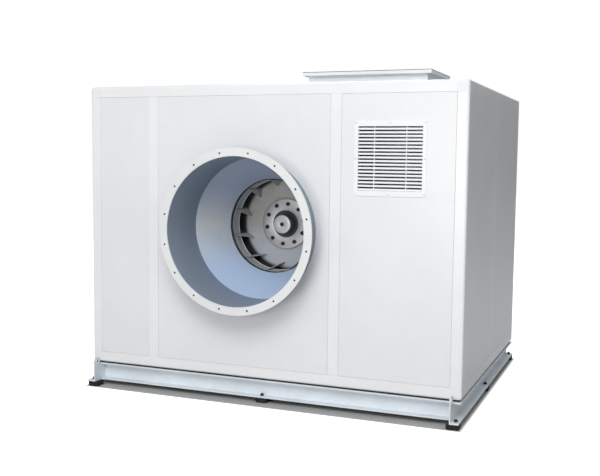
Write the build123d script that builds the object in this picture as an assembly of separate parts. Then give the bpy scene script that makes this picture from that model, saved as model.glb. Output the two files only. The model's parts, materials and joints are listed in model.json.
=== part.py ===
from build123d import *

import os
from math import acos, atan2, cos, degrees, hypot, radians, sin, sqrt

# Cabinet centrifugal fan: panelled cabinet on a channel base, round inlet spigot in the
# front, backward-curved wheel in a scroll, outlet flange on the roof, belt drive behind.
# Lengths are in millimetres. The model is drawn from the cabinet's front left bottom
# corner (x to the right, y to the back, z up) and moved to its own origin, the middle of
# the base, when each sub-part is saved.

# ---- cabinet ----
CAB_W = 2190.0
CAB_D = 1670.0
CAB_H = 1600.0
PROFILE = 60.0
PROFILE_WALL = 3.0
CORNER_R = 12.0
MULLION_LEFT = 411.0
MULLION_RIGHT = 1501.0
MULLION_SIDE = 835.0
PANEL_T = 40.0
PANEL_SKIN = 1.2
PANEL_GAP = 0.5
LANDING_W = 15.0
LANDING_T = 3.0
CORNER_STUB = 40.0
STUB_SLACK = 4.0

# ---- wheel axis and inlet ----
AXIS_X = 991.0
AXIS_Z = 813.0
SHEET = 3.0
SPIGOT_R = 400.0
SPIGOT_REACH = 160.0
SPIGOT_END = 171.0
FLANGE_W = 45.0
FLANGE_T = 6.0
FLANGE_HOLES = 16
FLANGE_HOLE_R = 5.5
FLANGE_HOLE_INSET = 22.5
WALL_FLANGE_W = 37.0
JOINT_FLANGE_W = 22.0
CONE_STEP = 4.0
CONE_END = 372.0
THROAT_R = 274.0
RING_GAP = 16.0
RIM_W = 25.0

# ---- wheel ----
WHEEL_R = 440.0
WHEEL_START = 380.0
COLLAR_END = 473.0
COLLAR_R = 270.0
SHROUD_T = 3.0
SHROUD_BEND_R = 20.0
SHROUD_RISE = 12.0
BLADES = 11
BLADE_T = 4.0
BLADE_FIRST = 106.3
BLADE_FRONT_SETBACK = 5.0
BLADE_FRONT_R = 265.0
BLADE_BACK_R = 230.0
BLADE_ROOT_R = 226.0
BLADE_MID_R = 330.0
BLADE_MID_SWEEP = 21.6
BLADE_TIP_SWEEP = 35.5
BLADE_TIP_SETBACK = 2.0
WELD_GAP = 0.2
BACKPLATE_Y = 575.0
BACKPLATE_T = 6.0
HUB_RING_R = 151.0
HUB_RING_HOLE_R = 80.0
HUB_RING_T = 17.0
HUB_BOLTS = 10
HUB_BOLT_PCD_R = 121.0
HUB_BOLT_FIRST = 10.7
HUB_BOLT_R = 7.0
HUB_BOLT_AF = 22.0
HUB_BOLT_HEAD = 9.0
NUT_T = 11.0
BOLT_SLACK = 0.3
HUB_FLANGE_T = 16.0
HUB_NOSE_R = 55.0
HUB_BODY_R = 75.0
HUB_END = 690.0
NOSE_FRONT = 508.0
END_DISC_T = 10.0
END_DISC_HOLE_R = 12.0
END_BOLT_R = 8.0
END_BOLT_LENGTH = 42.0
END_BOLT_SOCKET_R = 6.0
NOSE_FIT = 0.3
SHAFT_R = 30.0
SHAFT_FIT = 0.03
SHAFT_END = 1480.0

# ---- bearings and their pedestal ----
BEARING_FRONT = 950.0
BEARING_REAR = 1330.0
BEARING_HEIGHT = 80.0
HOUSING_R = 72.0
HOUSING_BORE_R = 52.5
HOUSING_W = 60.0
HOUSING_COVER_T = 6.0
HOUSING_FOOT_W = 230.0
HOUSING_FOOT_T = 25.0
HOUSING_BOLT_X = 92.0
SHAFT_CLEARANCE = 1.0
INNER_RING_T = 9.5
INNER_RING_W = 28.0
BALLS = 12
BALL_GAP = 0.3
PEDESTAL_TOP_T = 20.0
PEDESTAL_HALF_W = 180.0
PEDESTAL_FRONT = 900.0
PEDESTAL_REAR = 1385.0
LEG_OFFSET = 140.0
LEG = 60.0
BRACE_Z = 400.0
BRACE_H = 40.0

# ---- scroll ----
SCROLL_FRONT = 412.0
SCROLL_REAR = 823.0
SCROLL_TOP_DROP = 120.0
OUTLET_LEFT = 199.0
OUTLET_RIGHT = 883.0
SCROLL_UP = 500.0
SCROLL_LEFT = 605.0
SCROLL_DOWN = 735.0
SCROLL_LAST_R = 810.0
SCROLL_FIRST_R = 460.0
SHAFT_HOLE_R = 45.0
FOOT_ANGLE_W = 60.0
FOOT_ANGLE_T = 6.0
FOOT_ANGLE_H = 140.0
FOOT_ANGLE_OVERHANG = 20.0

# ---- outlet ----
OUTLET_RISE = 93.0
OUTLET_START_DROP = 80.0
OUTLET_OVERHANG = 27.0
OUTLET_PLATE_T = 4.0
OUTLET_LIP_H = 18.0
OUTLET_LIP_T = 3.0
GASKET_T = 3.0
OUTLET_HOLES_X = 7
OUTLET_HOLES_Y = 5
OUTLET_HOLE_R = 4.5
CURB_W = 40.0
CURB_GAP = 0.5
SLEEVE_T = 2.0
SLEEVE_LAP = 20.0

# ---- drive ----
DRIVE_BEAM_W = 60.0
DRIVE_BEAM_H = 50.0
DRIVE_BEAM_WALL = 4.0
DRIVE_BEAM_INSET = 100.0
PULLEY_Y = 1425.0
PULLEY_W = 63.0
PULLEY_BIG_R = 200.0
PULLEY_SMALL_R = 100.0
PULLEY_WEB_T = 18.0
PULLEY_HUB_R = 55.0
PULLEY_RIM_T = 30.0
PULLEY_HOLES = 5
PULLEY_HOLE_R = 30.0
PULLEY_HOLE_PCD_R = 112.0
BELTS = 3
BELT_PITCH = 19.0
GROOVE_HALF_W = 8.5
GROOVE_DEPTH = 15.0
GROOVE_SLOPE = 0.344
BELT_DEPTH = 12.0
BELT_GAP = 0.42

# ---- motor ----
MOTOR_X = 1700.0
MOTOR_FRONT = 930.0
MOTOR_REAR = 1330.0
MOTOR_HEIGHT = 160.0
MOTOR_R = 145.0
STATOR_BORE_R = 101.0
ROTOR_R = 100.0
SHIELD_FRONT_T = 30.0
SHIELD_REAR_T = 40.0
FINS = 28
FIN_H = 13.0
FIN_T = 4.0
MOTOR_SHAFT_R = 21.0
MOTOR_SHAFT_END = 1470.0
MOTOR_SHAFT_GAP = 0.5
ROTOR_END_GAP = 20.0
FOOT_X = 127.0
FOOT_FRONT_Y = 1008.0
FOOT_REAR_Y = 1262.0
FOOT_W = 60.0
FOOT_T = 18.0
FOOT_HOLE_R = 7.5
FOOT_LAP = 22.0
FOOT_WEB_HALF = 80.0
FOOT_WEB_DROP = 40.0
BOLT_HEAD_ROOM = 2.0
FIN_ROOT = 2.0
FIN_INSET = 10.0
SHIELD_CHAMFER = 12.0
FAN_GAP = 5.0
FAN_DISC_T = 4.0
FAN_BLADE_T = 4.0
SHAFT_TAIL = 10.0
FAN_R = 130.0
FAN_BLADES = 7
FAN_W = 30.0
FAN_HUB_R = 38.0
COWL_LENGTH = 85.0
COWL_T = 2.0
COWL_GAP = 0.3
COWL_HOLE_R = 7.0
COWL_MOUTH_R = 20.0
COWL_HOLE_RINGS = ((45.0, 8), (72.0, 14), (99.0, 20), (126.0, 26))
BOX_W = 130.0
BOX_L = 150.0
BOX_H = 70.0
BOX_NECK = 90.0
BOX_SEAT = 1.0
BOX_WALL = 4.0
BOX_CORNER_R = 8.0
BOX_LID_T = 8.0
BOX_LID_EDGE = 2.0
GLAND_R = 16.0
GLAND_LENGTH = 28.0
RAIL_HALF = 260.0
RAIL_H = 45.0
RAIL_SLOT_W = 16.0
RAIL_SLOT_DEPTH = 25.0
RAIL_SLOT_HALF = 220.0
DRIVE_BOLT_R = 6.0
DRIVE_BOLT_HEAD_R = 11.0
DRIVE_BOLT_HEAD = 8.0
DRIVE_BOLT_GRIP = 12.0

# ---- louvre ----
LOUVRE_LEFT = 1602.0
LOUVRE_BOTTOM = 1015.0
LOUVRE_W = 382.0
LOUVRE_H = 386.0
LOUVRE_BORDER_X = 19.0
LOUVRE_BORDER_Z = 26.0
LOUVRE_PROUD = 4.0
LOUVRE_WALL = 3.0
SLATS = 18
SLAT_T = 1.5
SLAT_FRONT = 2.0
SLAT_DEPTH = 22.0
SLAT_LIP = 6.0
SLAT_RISE = 15.0
DIVIDER_T = 3.0
DIVIDER_FRONT = 27.0

# ---- base ----
PAD_H = 28.0
PAD_W = 66.0
PAD_CORNER_R = 8.0
BEAM_H = 100.0
BEAM_W = 48.0
BEAM_WEB = 6.0
BEAM_FLANGE = 8.0
BEAM_REACH = 60.0
BEAM_SETBACK = 10.0
LUG_W = 55.0
LUG_RISE = 40.0
LUG_HOLE_R = 15.0
LUG_FLAT = 4.0
LUG_SEAT = 20.0
SEAL_H = 10.0
SEAL_INSET = 12.0
SEAL_W = 36.0
CROSS_BEAM_W = 50.0
FRONT_PAD_X = 1080.0
SIDE_PAD_Y = 800.0
PAD_SETBACK = 2.0
STUD_R = 6.0
STUD_SLACK = 0.5
STUD_NUT_R = 11.0
STUD_NUT_H = 10.0
STUD_TIP = 4.0

# ---- rear service door ----
DOOR_GAP = 3.0
DOOR_SEAL_GAP = 0.5
HINGE_AXIS_OUT = 8.0
HINGE_R = 7.0
HINGE_PIN_R = 3.5
HINGE_PIN_GAP = 0.05
HINGE_LEAF_T = 3.0
HINGE_LEAF_W = 40.0
HINGE_H = 90.0
HINGE_PLAY = 0.5
HINGE_LOW = 300.0
HINGE_HIGH = 1210.0
LATCH_INSET = 45.0
LATCH_LOW = 400.0
LATCH_HIGH = 1200.0
LATCH_SPINDLE_R = 8.0
LATCH_GAP = 0.5
LATCH_ROSE_R = 22.0
LATCH_ROSE_T = 4.0
LATCH_ROSE_GAP = 0.3
LATCH_NECK = 10.0
LATCH_LEVER_L = 110.0
LATCH_LEVER_W = 18.0
LATCH_LEVER_T = 12.0
LATCH_CAM_T = 5.0
LATCH_CAM_REACH = 62.0
LATCH_CAM_W = 20.0
LATCH_CAM_GAP = 4.0

# ---- values worked out from the ones above ----
MID_X = Plane.YZ.offset(CAB_W / 2)
MID_Y = Plane.XZ.offset(-CAB_D / 2)
MID_Z = Plane.XY.offset(CAB_H / 2)
ORIGIN_DROP = PAD_H + BEAM_H + SEAL_H
ORIGIN_Y = (CAB_D + BEAM_REACH - SPIGOT_REACH) / 2
BAY_X = [
    (PROFILE, MULLION_LEFT - PROFILE / 2),
    (MULLION_LEFT + PROFILE / 2, MULLION_RIGHT - PROFILE / 2),
    (MULLION_RIGHT + PROFILE / 2, CAB_W - PROFILE),
]
BAY_Y = [
    (PROFILE, MULLION_SIDE - PROFILE / 2),
    (MULLION_SIDE + PROFILE / 2, CAB_D - PROFILE),
]
BAY_Z = (PROFILE, CAB_H - PROFILE)
DUCT_X0 = AXIS_X + OUTLET_LEFT - SHEET
DUCT_X1 = AXIS_X + OUTLET_RIGHT + SHEET
CURB_X0 = DUCT_X0 - CURB_GAP - CURB_W
CURB_X1 = DUCT_X1 + CURB_GAP + CURB_W
CURB_Y0 = SCROLL_FRONT - CURB_GAP - CURB_W
CURB_Y1 = SCROLL_REAR + CURB_GAP + CURB_W
OUTLET_TOP = CAB_H + OUTLET_RISE - GASKET_T
DRIVE_BEAM_Z = PROFILE
DRIVE_BEAM_TOP = DRIVE_BEAM_Z + DRIVE_BEAM_H
PEDESTAL_Z = AXIS_Z - BEARING_HEIGHT
SPIGOT_OUTER_R = SPIGOT_R + SHEET
INLET_RING_R = THROAT_R + RING_GAP
RIM_R = INLET_RING_R + RIM_W
RAIL_TOP = DRIVE_BEAM_TOP + RAIL_H
MOTOR_Z = RAIL_TOP + MOTOR_HEIGHT
MOTOR_MIDDLE = (MOTOR_FRONT + MOTOR_REAR) / 2
BOX_Z = MOTOR_Z + MOTOR_R + FIN_H + BOX_SEAT
HUB_REAR = BACKPLATE_Y + BACKPLATE_T + HUB_FLANGE_T
BEAM_BOTTOM = -SEAL_H - BEAM_H
FLANGE_MIDDLE = (BEAM_W - BEAM_WEB) / 2
PAD_END = PAD_W / 2 + PAD_SETBACK


def block(x0, x1, y0, y1, z0, z1):
    """Box between two corners."""
    centre = Pos((x0 + x1) / 2, (y0 + y1) / 2, (z0 + z1) / 2)
    return centre * Box(x1 - x0, y1 - y0, z1 - z0)


def rod_y(radius, y0, y1, x=AXIS_X, z=AXIS_Z):
    """Round bar along Y."""
    return Pos(x, (y0 + y1) / 2, z) * Rot(90, 0, 0) * Cylinder(radius, y1 - y0)


def rod_z(radius, z0, z1, x, y):
    """Round bar along Z."""
    return Pos(x, y, (z0 + z1) / 2) * Cylinder(radius, z1 - z0)


def hex_y(across_flats, y0, y1, x, z, turn=0.0):
    """Hexagonal bar along Y."""
    sketch = Rot(0, 0, turn) * RegularPolygon(across_flats / sqrt(3), 6)
    return Pos(x, 0, z) * prism_y(sketch, y0, y1)


def prism_y(sketch, y0, y1):
    """A sketch drawn in x and z, given its thickness along Y."""
    return extrude(Plane.XZ.offset(-y0) * sketch, amount=-(y1 - y0))


def turned(points, x=AXIS_X, z=AXIS_Z):
    """Solid of revolution about an axis along Y, from (radius, y) points."""
    face = make_face(Polyline(*points, close=True))
    return Pos(x, 0, z) * revolve(face, Axis.Y)


def ring_y(outer_r, inner_r, y0, y1, x=AXIS_X, z=AXIS_Z):
    """Plain ring about an axis along Y."""
    return turned([(inner_r, y0), (outer_r, y0), (outer_r, y1), (inner_r, y1)], x, z)


def around(count, first=0.0):
    """Angles of count evenly spaced places, in degrees."""
    return [first + 360.0 * i / count for i in range(count)]


def at_angle(radius, angle, x=AXIS_X, z=AXIS_Z):
    """Place at a radius and angle about an axis, the angle from +X towards +Z."""
    return x + radius * cos(radians(angle)), z + radius * sin(radians(angle))


def mirrored(shapes, *planes):
    """The shapes and their mirror images in each plane in turn."""
    result = list(shapes)
    for plane in planes:
        result += [mirror(shape, about=plane) for shape in result]
    return result


def group(shapes):
    """One assembly of separate solids."""
    solids = []
    for shape in shapes:
        solids += shape.solids()
    return Compound(children=solids)


def save(name, shapes):
    """Write one sub-part, moved so that the origin is the middle of the base."""
    shape = group(shapes if isinstance(shapes, list) else [shapes])
    move = Pos(-CAB_W / 2, -ORIGIN_Y, ORIGIN_DROP)
    export_step(move * shape, f"parts/{name}.step")


# ---- cabinet frame ----


def profile_bar(plane, length):
    """Frame profile along the plane's normal, its rounded edge on the plane's origin."""
    inner_size = PROFILE - 2 * PROFILE_WALL
    outer = extrude(plane * Pos(PROFILE / 2, PROFILE / 2) * Rectangle(PROFILE, PROFILE), amount=length)
    inner = extrude(
        plane * Pos(PROFILE / 2, PROFILE / 2) * Rectangle(inner_size, inner_size), amount=length
    )
    outer = fillet(edge_on(outer, plane, 0.0), CORNER_R)
    inner = fillet(edge_on(inner, plane, PROFILE_WALL), CORNER_R - PROFILE_WALL)
    return outer - inner


def edge_on(solid, plane, inset):
    """The long edge of a bar that stands the inset in from the plane's origin on both sides."""
    corner = plane.from_local_coords(Vector(inset, inset, 0))
    along = solid.edges().filter_by(Axis(corner, plane.z_dir))
    return [e for e in along if (e.center() - corner).cross(plane.z_dir).length < 0.01]


def corner_posts():
    post = profile_bar(Plane.XY.offset(PROFILE), CAB_H - 2 * PROFILE)
    return mirrored([post], MID_X, MID_Y)


def frame_rails():
    along_x = profile_bar(Plane.YZ.offset(PROFILE), CAB_W - 2 * PROFILE)
    plane_y = Plane(origin=(0, PROFILE, 0), x_dir=(0, 0, 1), z_dir=(0, 1, 0))
    along_y = profile_bar(plane_y, CAB_D - 2 * PROFILE)
    return mirrored([along_x], MID_Y, MID_Z) + mirrored([along_y], MID_X, MID_Z)


def corner_blocks():
    cube = block(0, PROFILE, 0, PROFILE, 0, PROFILE)
    outer_edges = [e for e in cube.edges() if sum(1 for v in e.center() if v < 0.01) == 2]
    cube = fillet(outer_edges, CORNER_R)
    low = PROFILE_WALL + STUB_SLACK
    high = PROFILE - low
    tip = PROFILE + CORNER_STUB
    cube += block(low, high, low, high, PROFILE / 2, tip)
    cube += block(low, high, PROFILE / 2, tip, low, high)
    cube += block(PROFILE / 2, tip, low, high, low, high)
    return mirrored([cube], MID_X, MID_Y, MID_Z)


def tube_along(axis, x0, x1, y0, y1, z0, z1, wall):
    """Square tube between two corners, open at its ends along the named axis."""
    outer = block(x0, x1, y0, y1, z0, z1)
    cut = [[x0, x1], [y0, y1], [z0, z1]]
    for i, name in enumerate("xyz"):
        shift = 0.0 if name == axis else wall
        cut[i] = [cut[i][0] + shift, cut[i][1] - shift]
    return outer - block(*cut[0], *cut[1], *cut[2])


def mullions():
    """Uprights between the bottom and top rails, in the front, rear and side walls."""
    half = PROFILE / 2
    result = []
    for x in (MULLION_LEFT, MULLION_RIGHT):
        for y in (0.0, CAB_D - PROFILE):
            result.append(tube_along("z", x - half, x + half, y, y + PROFILE, *BAY_Z, PROFILE_WALL))
    for x in (0.0, CAB_W - PROFILE):
        y = MULLION_SIDE
        result.append(tube_along("z", x, x + PROFILE, y - half, y + half, *BAY_Z, PROFILE_WALL))
    return result


def bar_y(x, y0, y1, z0):
    """Frame tube along Y, centred on x."""
    half = PROFILE / 2
    return tube_along("y", x - half, x + half, y0, y1, z0, z0 + PROFILE, PROFILE_WALL)


def roof_bars():
    z0 = CAB_H - PROFILE
    return [
        bar_y(MULLION_LEFT, PROFILE, CAB_D - PROFILE, z0),
        bar_y(MULLION_RIGHT, PROFILE, CURB_Y0, z0),
        bar_y(MULLION_RIGHT, CURB_Y1, CAB_D - PROFILE, z0),
    ]


def floor_bars():
    return [bar_y(x, PROFILE, CAB_D - PROFILE, 0.0) for x in (MULLION_LEFT, MULLION_RIGHT)]


def outlet_curb():
    outer = block(CURB_X0, CURB_X1, CURB_Y0, CURB_Y1, CAB_H - PROFILE, CAB_H)
    hole_x = (DUCT_X0 - CURB_GAP, DUCT_X1 + CURB_GAP)
    hole_y = (SCROLL_FRONT - CURB_GAP, SCROLL_REAR + CURB_GAP)
    return outer - block(*hole_x, *hole_y, CAB_H - 2 * PROFILE, CAB_H + PROFILE)


def wall_bays():
    """Every panel bay, as its spans in x, y and z, with None across the wall, and the wall's name."""
    bays = []
    for span in BAY_X:
        bays.append((span, None, BAY_Z, "front"))
        bays.append((span, None, BAY_Z, "rear"))
        bays.append((span, (PROFILE, CAB_D - PROFILE), None, "floor"))
        bays.append((span, (PROFILE, CAB_D - PROFILE), None, "roof"))
    for span in BAY_Y:
        bays.append((None, span, BAY_Z, "left"))
        bays.append((None, span, BAY_Z, "right"))
    return bays


def bay_box(bay, inset, depth0, depth1):
    """Box in a bay, inset from its sides, between two depths from the outer face."""
    spans = [bay[0], bay[1], bay[2]]
    far = {"front": None, "left": None, "floor": None, "rear": CAB_D, "right": CAB_W, "roof": CAB_H}
    edge = far[bay[3]]
    sizes = []
    for span in spans:
        if span is not None:
            sizes += [span[0] + inset, span[1] - inset]
        elif edge is None:
            sizes += [depth0, depth1]
        else:
            sizes += [edge - depth1, edge - depth0]
    return block(*sizes)


def curb_cut(grow):
    """Space round the outlet's curb, grown outwards."""
    gap = PANEL_GAP + grow
    return block(
        CURB_X0 - gap, CURB_X1 + gap, CURB_Y0 - gap, CURB_Y1 + gap, CAB_H - 2 * PROFILE, CAB_H + PROFILE
    )


def spigot_cut(grow):
    """Space round the inlet spigot where it passes the wall, grown outwards."""
    return rod_y(SPIGOT_OUTER_R + PANEL_GAP + grow, -PANEL_T, 2 * PANEL_T)


def louvre_cut(grow):
    """Space round the louvre's sleeve, grown outwards."""
    x0, x1, z0, z1 = louvre_hole()
    gap = PANEL_GAP + grow
    return block(x0 - gap, x1 + gap, -PANEL_T, 2 * PANEL_T, z0 - gap, z1 + gap)


def latch_cut(grow):
    """Holes for the door's latch spindles, grown outwards."""
    radius = LATCH_SPINDLE_R + LATCH_GAP + grow
    places = latch_places()
    return group([rod_y(radius, CAB_D - 2 * PANEL_T, CAB_D + PANEL_T, x, z) for x, z in places])


def casing(bay, gap, depth, cut=None):
    """Panel in a bay as a closed sheet casing; cut gives its holes, grown by a length."""
    outer = bay_box(bay, gap, 0.0, depth)
    inner = bay_box(bay, gap + PANEL_SKIN, PANEL_SKIN, depth - PANEL_SKIN)
    if cut:
        outer -= cut(0.0)
        inner -= cut(PANEL_SKIN)
    return outer - inner


def panel_landings():
    """Thin frames inside each bay that the panels' back faces rest on."""
    result = []
    for bay in wall_bays():
        inner = PANEL_T + LANDING_T
        landing = bay_box(bay, 0.0, PANEL_T, inner) - bay_box(bay, LANDING_W, 0.0, 2 * inner)
        if bay[3] == "roof":
            landing -= curb_cut(0.0)
        result.append(landing)
    return result


def bays_of(name):
    """The bays of one wall, from left to right or from front to back."""
    return [bay for bay in wall_bays() if bay[3] == name]


def panels(name, cut=None):
    """Panels of one wall, each flush with the frame's outer face."""
    return [casing(bay, PANEL_GAP, PANEL_T, cut) for bay in bays_of(name)]


def panel_front_left():
    return casing(bays_of("front")[0], PANEL_GAP, PANEL_T)


def panel_front_inlet():
    return casing(bays_of("front")[1], PANEL_GAP, PANEL_T, spigot_cut)


def panel_front_louvre():
    return casing(bays_of("front")[2], PANEL_GAP, PANEL_T, louvre_cut)


def rear_panels():
    """The rear wall's panels, beside the service door."""
    return panels("rear")[:2]


def louvre_hole():
    """Opening inside the louvre's border."""
    x0 = LOUVRE_LEFT + LOUVRE_BORDER_X
    x1 = LOUVRE_LEFT + LOUVRE_W - LOUVRE_BORDER_X
    z0 = LOUVRE_BOTTOM + LOUVRE_BORDER_Z
    z1 = LOUVRE_BOTTOM + LOUVRE_H - LOUVRE_BORDER_Z
    return x0, x1, z0, z1


# ---- louvre ----


def louvre_frame():
    x0, x1, z0, z1 = louvre_hole()
    wall = LOUVRE_WALL
    border = block(
        LOUVRE_LEFT, LOUVRE_LEFT + LOUVRE_W, -LOUVRE_PROUD, 0, LOUVRE_BOTTOM, LOUVRE_BOTTOM + LOUVRE_H
    )
    border = chamfer(border.faces().sort_by(Axis.Y)[0].edges(), LOUVRE_PROUD / 2)
    frame = border + block(x0, x1, -LOUVRE_PROUD / 2, PANEL_T, z0, z1)
    frame -= block(x0 + wall, x1 - wall, -PANEL_T, 2 * PANEL_T, z0 + wall, z1 - wall)
    width = x1 - x0
    for share in (0.25, 0.75):
        x = x0 + width * share
        frame += block(x - DIVIDER_T / 2, x + DIVIDER_T / 2, DIVIDER_FRONT, PANEL_T, z0 + 1, z1 - 1)
    return frame


def louvre_slats():
    """Sloping slats between the louvre frame's walls, each with an upright front lip."""
    x0, x1, z0, z1 = louvre_hole()
    pitch = (z1 - z0 - 2 * LOUVRE_WALL) / SLATS
    front = SLAT_FRONT
    back = SLAT_FRONT + SLAT_DEPTH
    result = []
    for i in range(SLATS):
        z = z0 + LOUVRE_WALL + 1.0 + i * pitch
        rise = z + SLAT_RISE
        points = [
            (front, z), (front + SLAT_T, z), (front + SLAT_T, z + SLAT_LIP - SLAT_T), (back, rise - SLAT_T),
            (back, rise), (front, z + SLAT_LIP),
        ]
        face = make_face(Polyline(*points, close=True))
        result.append(
            extrude(Plane.YZ.offset(x0 + LOUVRE_WALL) * face, amount=x1 - x0 - 2 * LOUVRE_WALL)
        )
    return result


# ---- inlet ----


def inlet_flange():
    """Drilled ring on the spigot's front end."""
    front = -SPIGOT_REACH
    ring = ring_y(SPIGOT_R + FLANGE_W, SPIGOT_R, front, front + FLANGE_T)
    for angle in around(FLANGE_HOLES, 180.0 / FLANGE_HOLES):
        x, z = at_angle(SPIGOT_R + FLANGE_HOLE_INSET, angle)
        ring -= rod_y(FLANGE_HOLE_R, front - FLANGE_T, front + 2 * FLANGE_T, x, z)
    return ring


def inlet_spigot():
    """Round duct spigot: front flange, tube, wall ring, and the rear tube with its joint flange."""
    wall_ring_end = PANEL_T + LANDING_T
    joint = SPIGOT_END - SHEET
    tube = ring_y(SPIGOT_OUTER_R, SPIGOT_R, -SPIGOT_REACH + FLANGE_T, PANEL_T)
    wall_ring = ring_y(SPIGOT_OUTER_R + WALL_FLANGE_W, SPIGOT_R, PANEL_T, wall_ring_end)
    rear = ring_y(SPIGOT_OUTER_R, SPIGOT_R, wall_ring_end, joint)
    joint_flange = ring_y(SPIGOT_R + JOINT_FLANGE_W, SPIGOT_R, joint, SPIGOT_END)
    return [inlet_flange(), tube, wall_ring, rear + joint_flange]


def inlet_cone():
    """Cone from the spigot down to the throat, a flange at each end."""
    start = SPIGOT_END
    end = CONE_END
    start_r = SPIGOT_R - CONE_STEP
    profile = [
        (start_r, start), (SPIGOT_R + JOINT_FLANGE_W, start),
        (SPIGOT_R + JOINT_FLANGE_W, start + SHEET), (start_r + SHEET, start + SHEET),
        (THROAT_R + SHEET, end - SHEET), (RIM_R, end - SHEET), (RIM_R, end), (THROAT_R, end),
    ]
    return turned(profile)


# ---- scroll ----


def scroll_outline(grow):
    """Face inside the scroll and its outlet, grown outwards; centred on the wheel axis."""
    last_x = OUTLET_RIGHT - SCROLL_LAST_R
    last_z = SCROLL_LAST_R - SCROLL_DOWN
    third_r = SCROLL_LEFT + last_x
    low_z = third_r - SCROLL_DOWN
    second_r = SCROLL_UP - low_z
    left_x = second_r - SCROLL_LEFT
    first_z = SCROLL_UP - SCROLL_FIRST_R
    wall_x = OUTLET_LEFT - grow
    first_r = SCROLL_FIRST_R + grow
    tongue_z = first_z + sqrt(first_r**2 - (wall_x - left_x) ** 2)
    tongue_angle = degrees(atan2(tongue_z - first_z, wall_x - left_x))
    top = CAB_H - SCROLL_TOP_DROP - AXIS_Z
    right_x = OUTLET_RIGHT + grow
    lines = [
        CenterArc((left_x, first_z), first_r, tongue_angle, 90 - tongue_angle),
        CenterArc((left_x, low_z), second_r + grow, 90, 90),
        CenterArc((last_x, low_z), third_r + grow, 180, 90),
        CenterArc((last_x, last_z), SCROLL_LAST_R + grow, 270, 90),
        Polyline((right_x, last_z), (right_x, top), (wall_x, top), (wall_x, tongue_z)),
    ]
    return make_face(lines)


def scroll_wrapper():
    section = scroll_outline(SHEET) - scroll_outline(0.0)
    return Pos(AXIS_X, 0, AXIS_Z) * prism_y(section, SCROLL_FRONT + SHEET, SCROLL_REAR - SHEET)


def scroll_front_plate():
    """Front side plate with the raised ring that carries the cone's small end."""
    plate = Pos(AXIS_X, 0, AXIS_Z) * prism_y(scroll_outline(SHEET), SCROLL_FRONT, SCROLL_FRONT + SHEET)
    plate -= rod_y(INLET_RING_R, 0, SCROLL_REAR)
    outer = INLET_RING_R + SHEET
    profile = [
        (INLET_RING_R, CONE_END), (RIM_R, CONE_END), (RIM_R, CONE_END + SHEET), (outer, CONE_END + SHEET),
        (outer, SCROLL_FRONT + SHEET / 2), (INLET_RING_R, SCROLL_FRONT + SHEET / 2),
    ]
    return plate + turned(profile)


def scroll_rear_plate():
    plate = Pos(AXIS_X, 0, AXIS_Z) * prism_y(scroll_outline(SHEET), SCROLL_REAR - SHEET, SCROLL_REAR)
    return plate - rod_y(SHAFT_HOLE_R, 0, CAB_D)


def scroll_feet():
    """Angles that carry the scroll's side plates on the floor bars."""
    half = PROFILE / 2
    x0 = MULLION_LEFT - half + FOOT_ANGLE_OVERHANG
    x1 = MULLION_RIGHT + half - FOOT_ANGLE_OVERHANG
    result = []
    for face, away in ((SCROLL_FRONT, -1), (SCROLL_REAR, 1)):
        flat = sorted((face, face + away * FOOT_ANGLE_W))
        upright = sorted((face, face + away * FOOT_ANGLE_T))
        angle = block(x0, x1, *flat, PROFILE, PROFILE + FOOT_ANGLE_T)
        result.append(angle + block(x0, x1, *upright, PROFILE, PROFILE + FOOT_ANGLE_H))
    return result


# ---- outlet ----


def duct_ring(out0, out1, z0, z1):
    """Rectangular ring about the outlet duct, between two offsets from its outer faces."""
    outer = block(DUCT_X0 - out1, DUCT_X1 + out1, SCROLL_FRONT - out1, SCROLL_REAR + out1, z0, z1)
    rise = CAB_H
    hole = block(
        DUCT_X0 - out0, DUCT_X1 + out0, SCROLL_FRONT - out0, SCROLL_REAR + out0, z0 - rise, z1 + rise
    )
    return outer - hole


def outlet_hole_places():
    """Bolt places round the outlet flange, midway between the duct wall and the lip."""
    middle = (OUTLET_OVERHANG - OUTLET_LIP_T) / 2
    x0, x1 = DUCT_X0 - middle, DUCT_X1 + middle
    y0, y1 = SCROLL_FRONT - middle, SCROLL_REAR + middle
    places = []
    for i in range(OUTLET_HOLES_X):
        x = x0 + (x1 - x0) * i / (OUTLET_HOLES_X - 1)
        places += [(x, y0), (x, y1)]
    for i in range(1, OUTLET_HOLES_Y - 1):
        y = y0 + (y1 - y0) * i / (OUTLET_HOLES_Y - 1)
        places += [(x0, y), (x1, y)]
    return places


def outlet_duct():
    """Roof collar with a drilled flange that is turned down at its edge."""
    start = CAB_H - OUTLET_START_DROP
    top = OUTLET_TOP
    duct = duct_ring(-SHEET, 0.0, start, top)
    duct += duct_ring(-SHEET, OUTLET_OVERHANG, top - OUTLET_PLATE_T, top)
    duct += duct_ring(OUTLET_OVERHANG - OUTLET_LIP_T, OUTLET_OVERHANG, top - OUTLET_LIP_H, top)
    for x, y in outlet_hole_places():
        duct -= rod_z(OUTLET_HOLE_R, top - OUTLET_LIP_H, top + OUTLET_LIP_H, x, y)
    return duct


def outlet_gasket():
    gasket = duct_ring(-SHEET, OUTLET_OVERHANG, OUTLET_TOP, OUTLET_TOP + GASKET_T)
    for x, y in outlet_hole_places():
        gasket -= rod_z(OUTLET_HOLE_R, OUTLET_TOP - GASKET_T, OUTLET_TOP + 2 * GASKET_T, x, y)
    return gasket


def flexible_connector():
    """Canvas sleeve round the gap between the scroll's outlet and the roof collar."""
    z0 = CAB_H - SCROLL_TOP_DROP - SLEEVE_LAP
    z1 = CAB_H - OUTLET_START_DROP + SLEEVE_LAP
    return duct_ring(0.0, SLEEVE_T, z0, z1)


# ---- wheel ----


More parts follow.
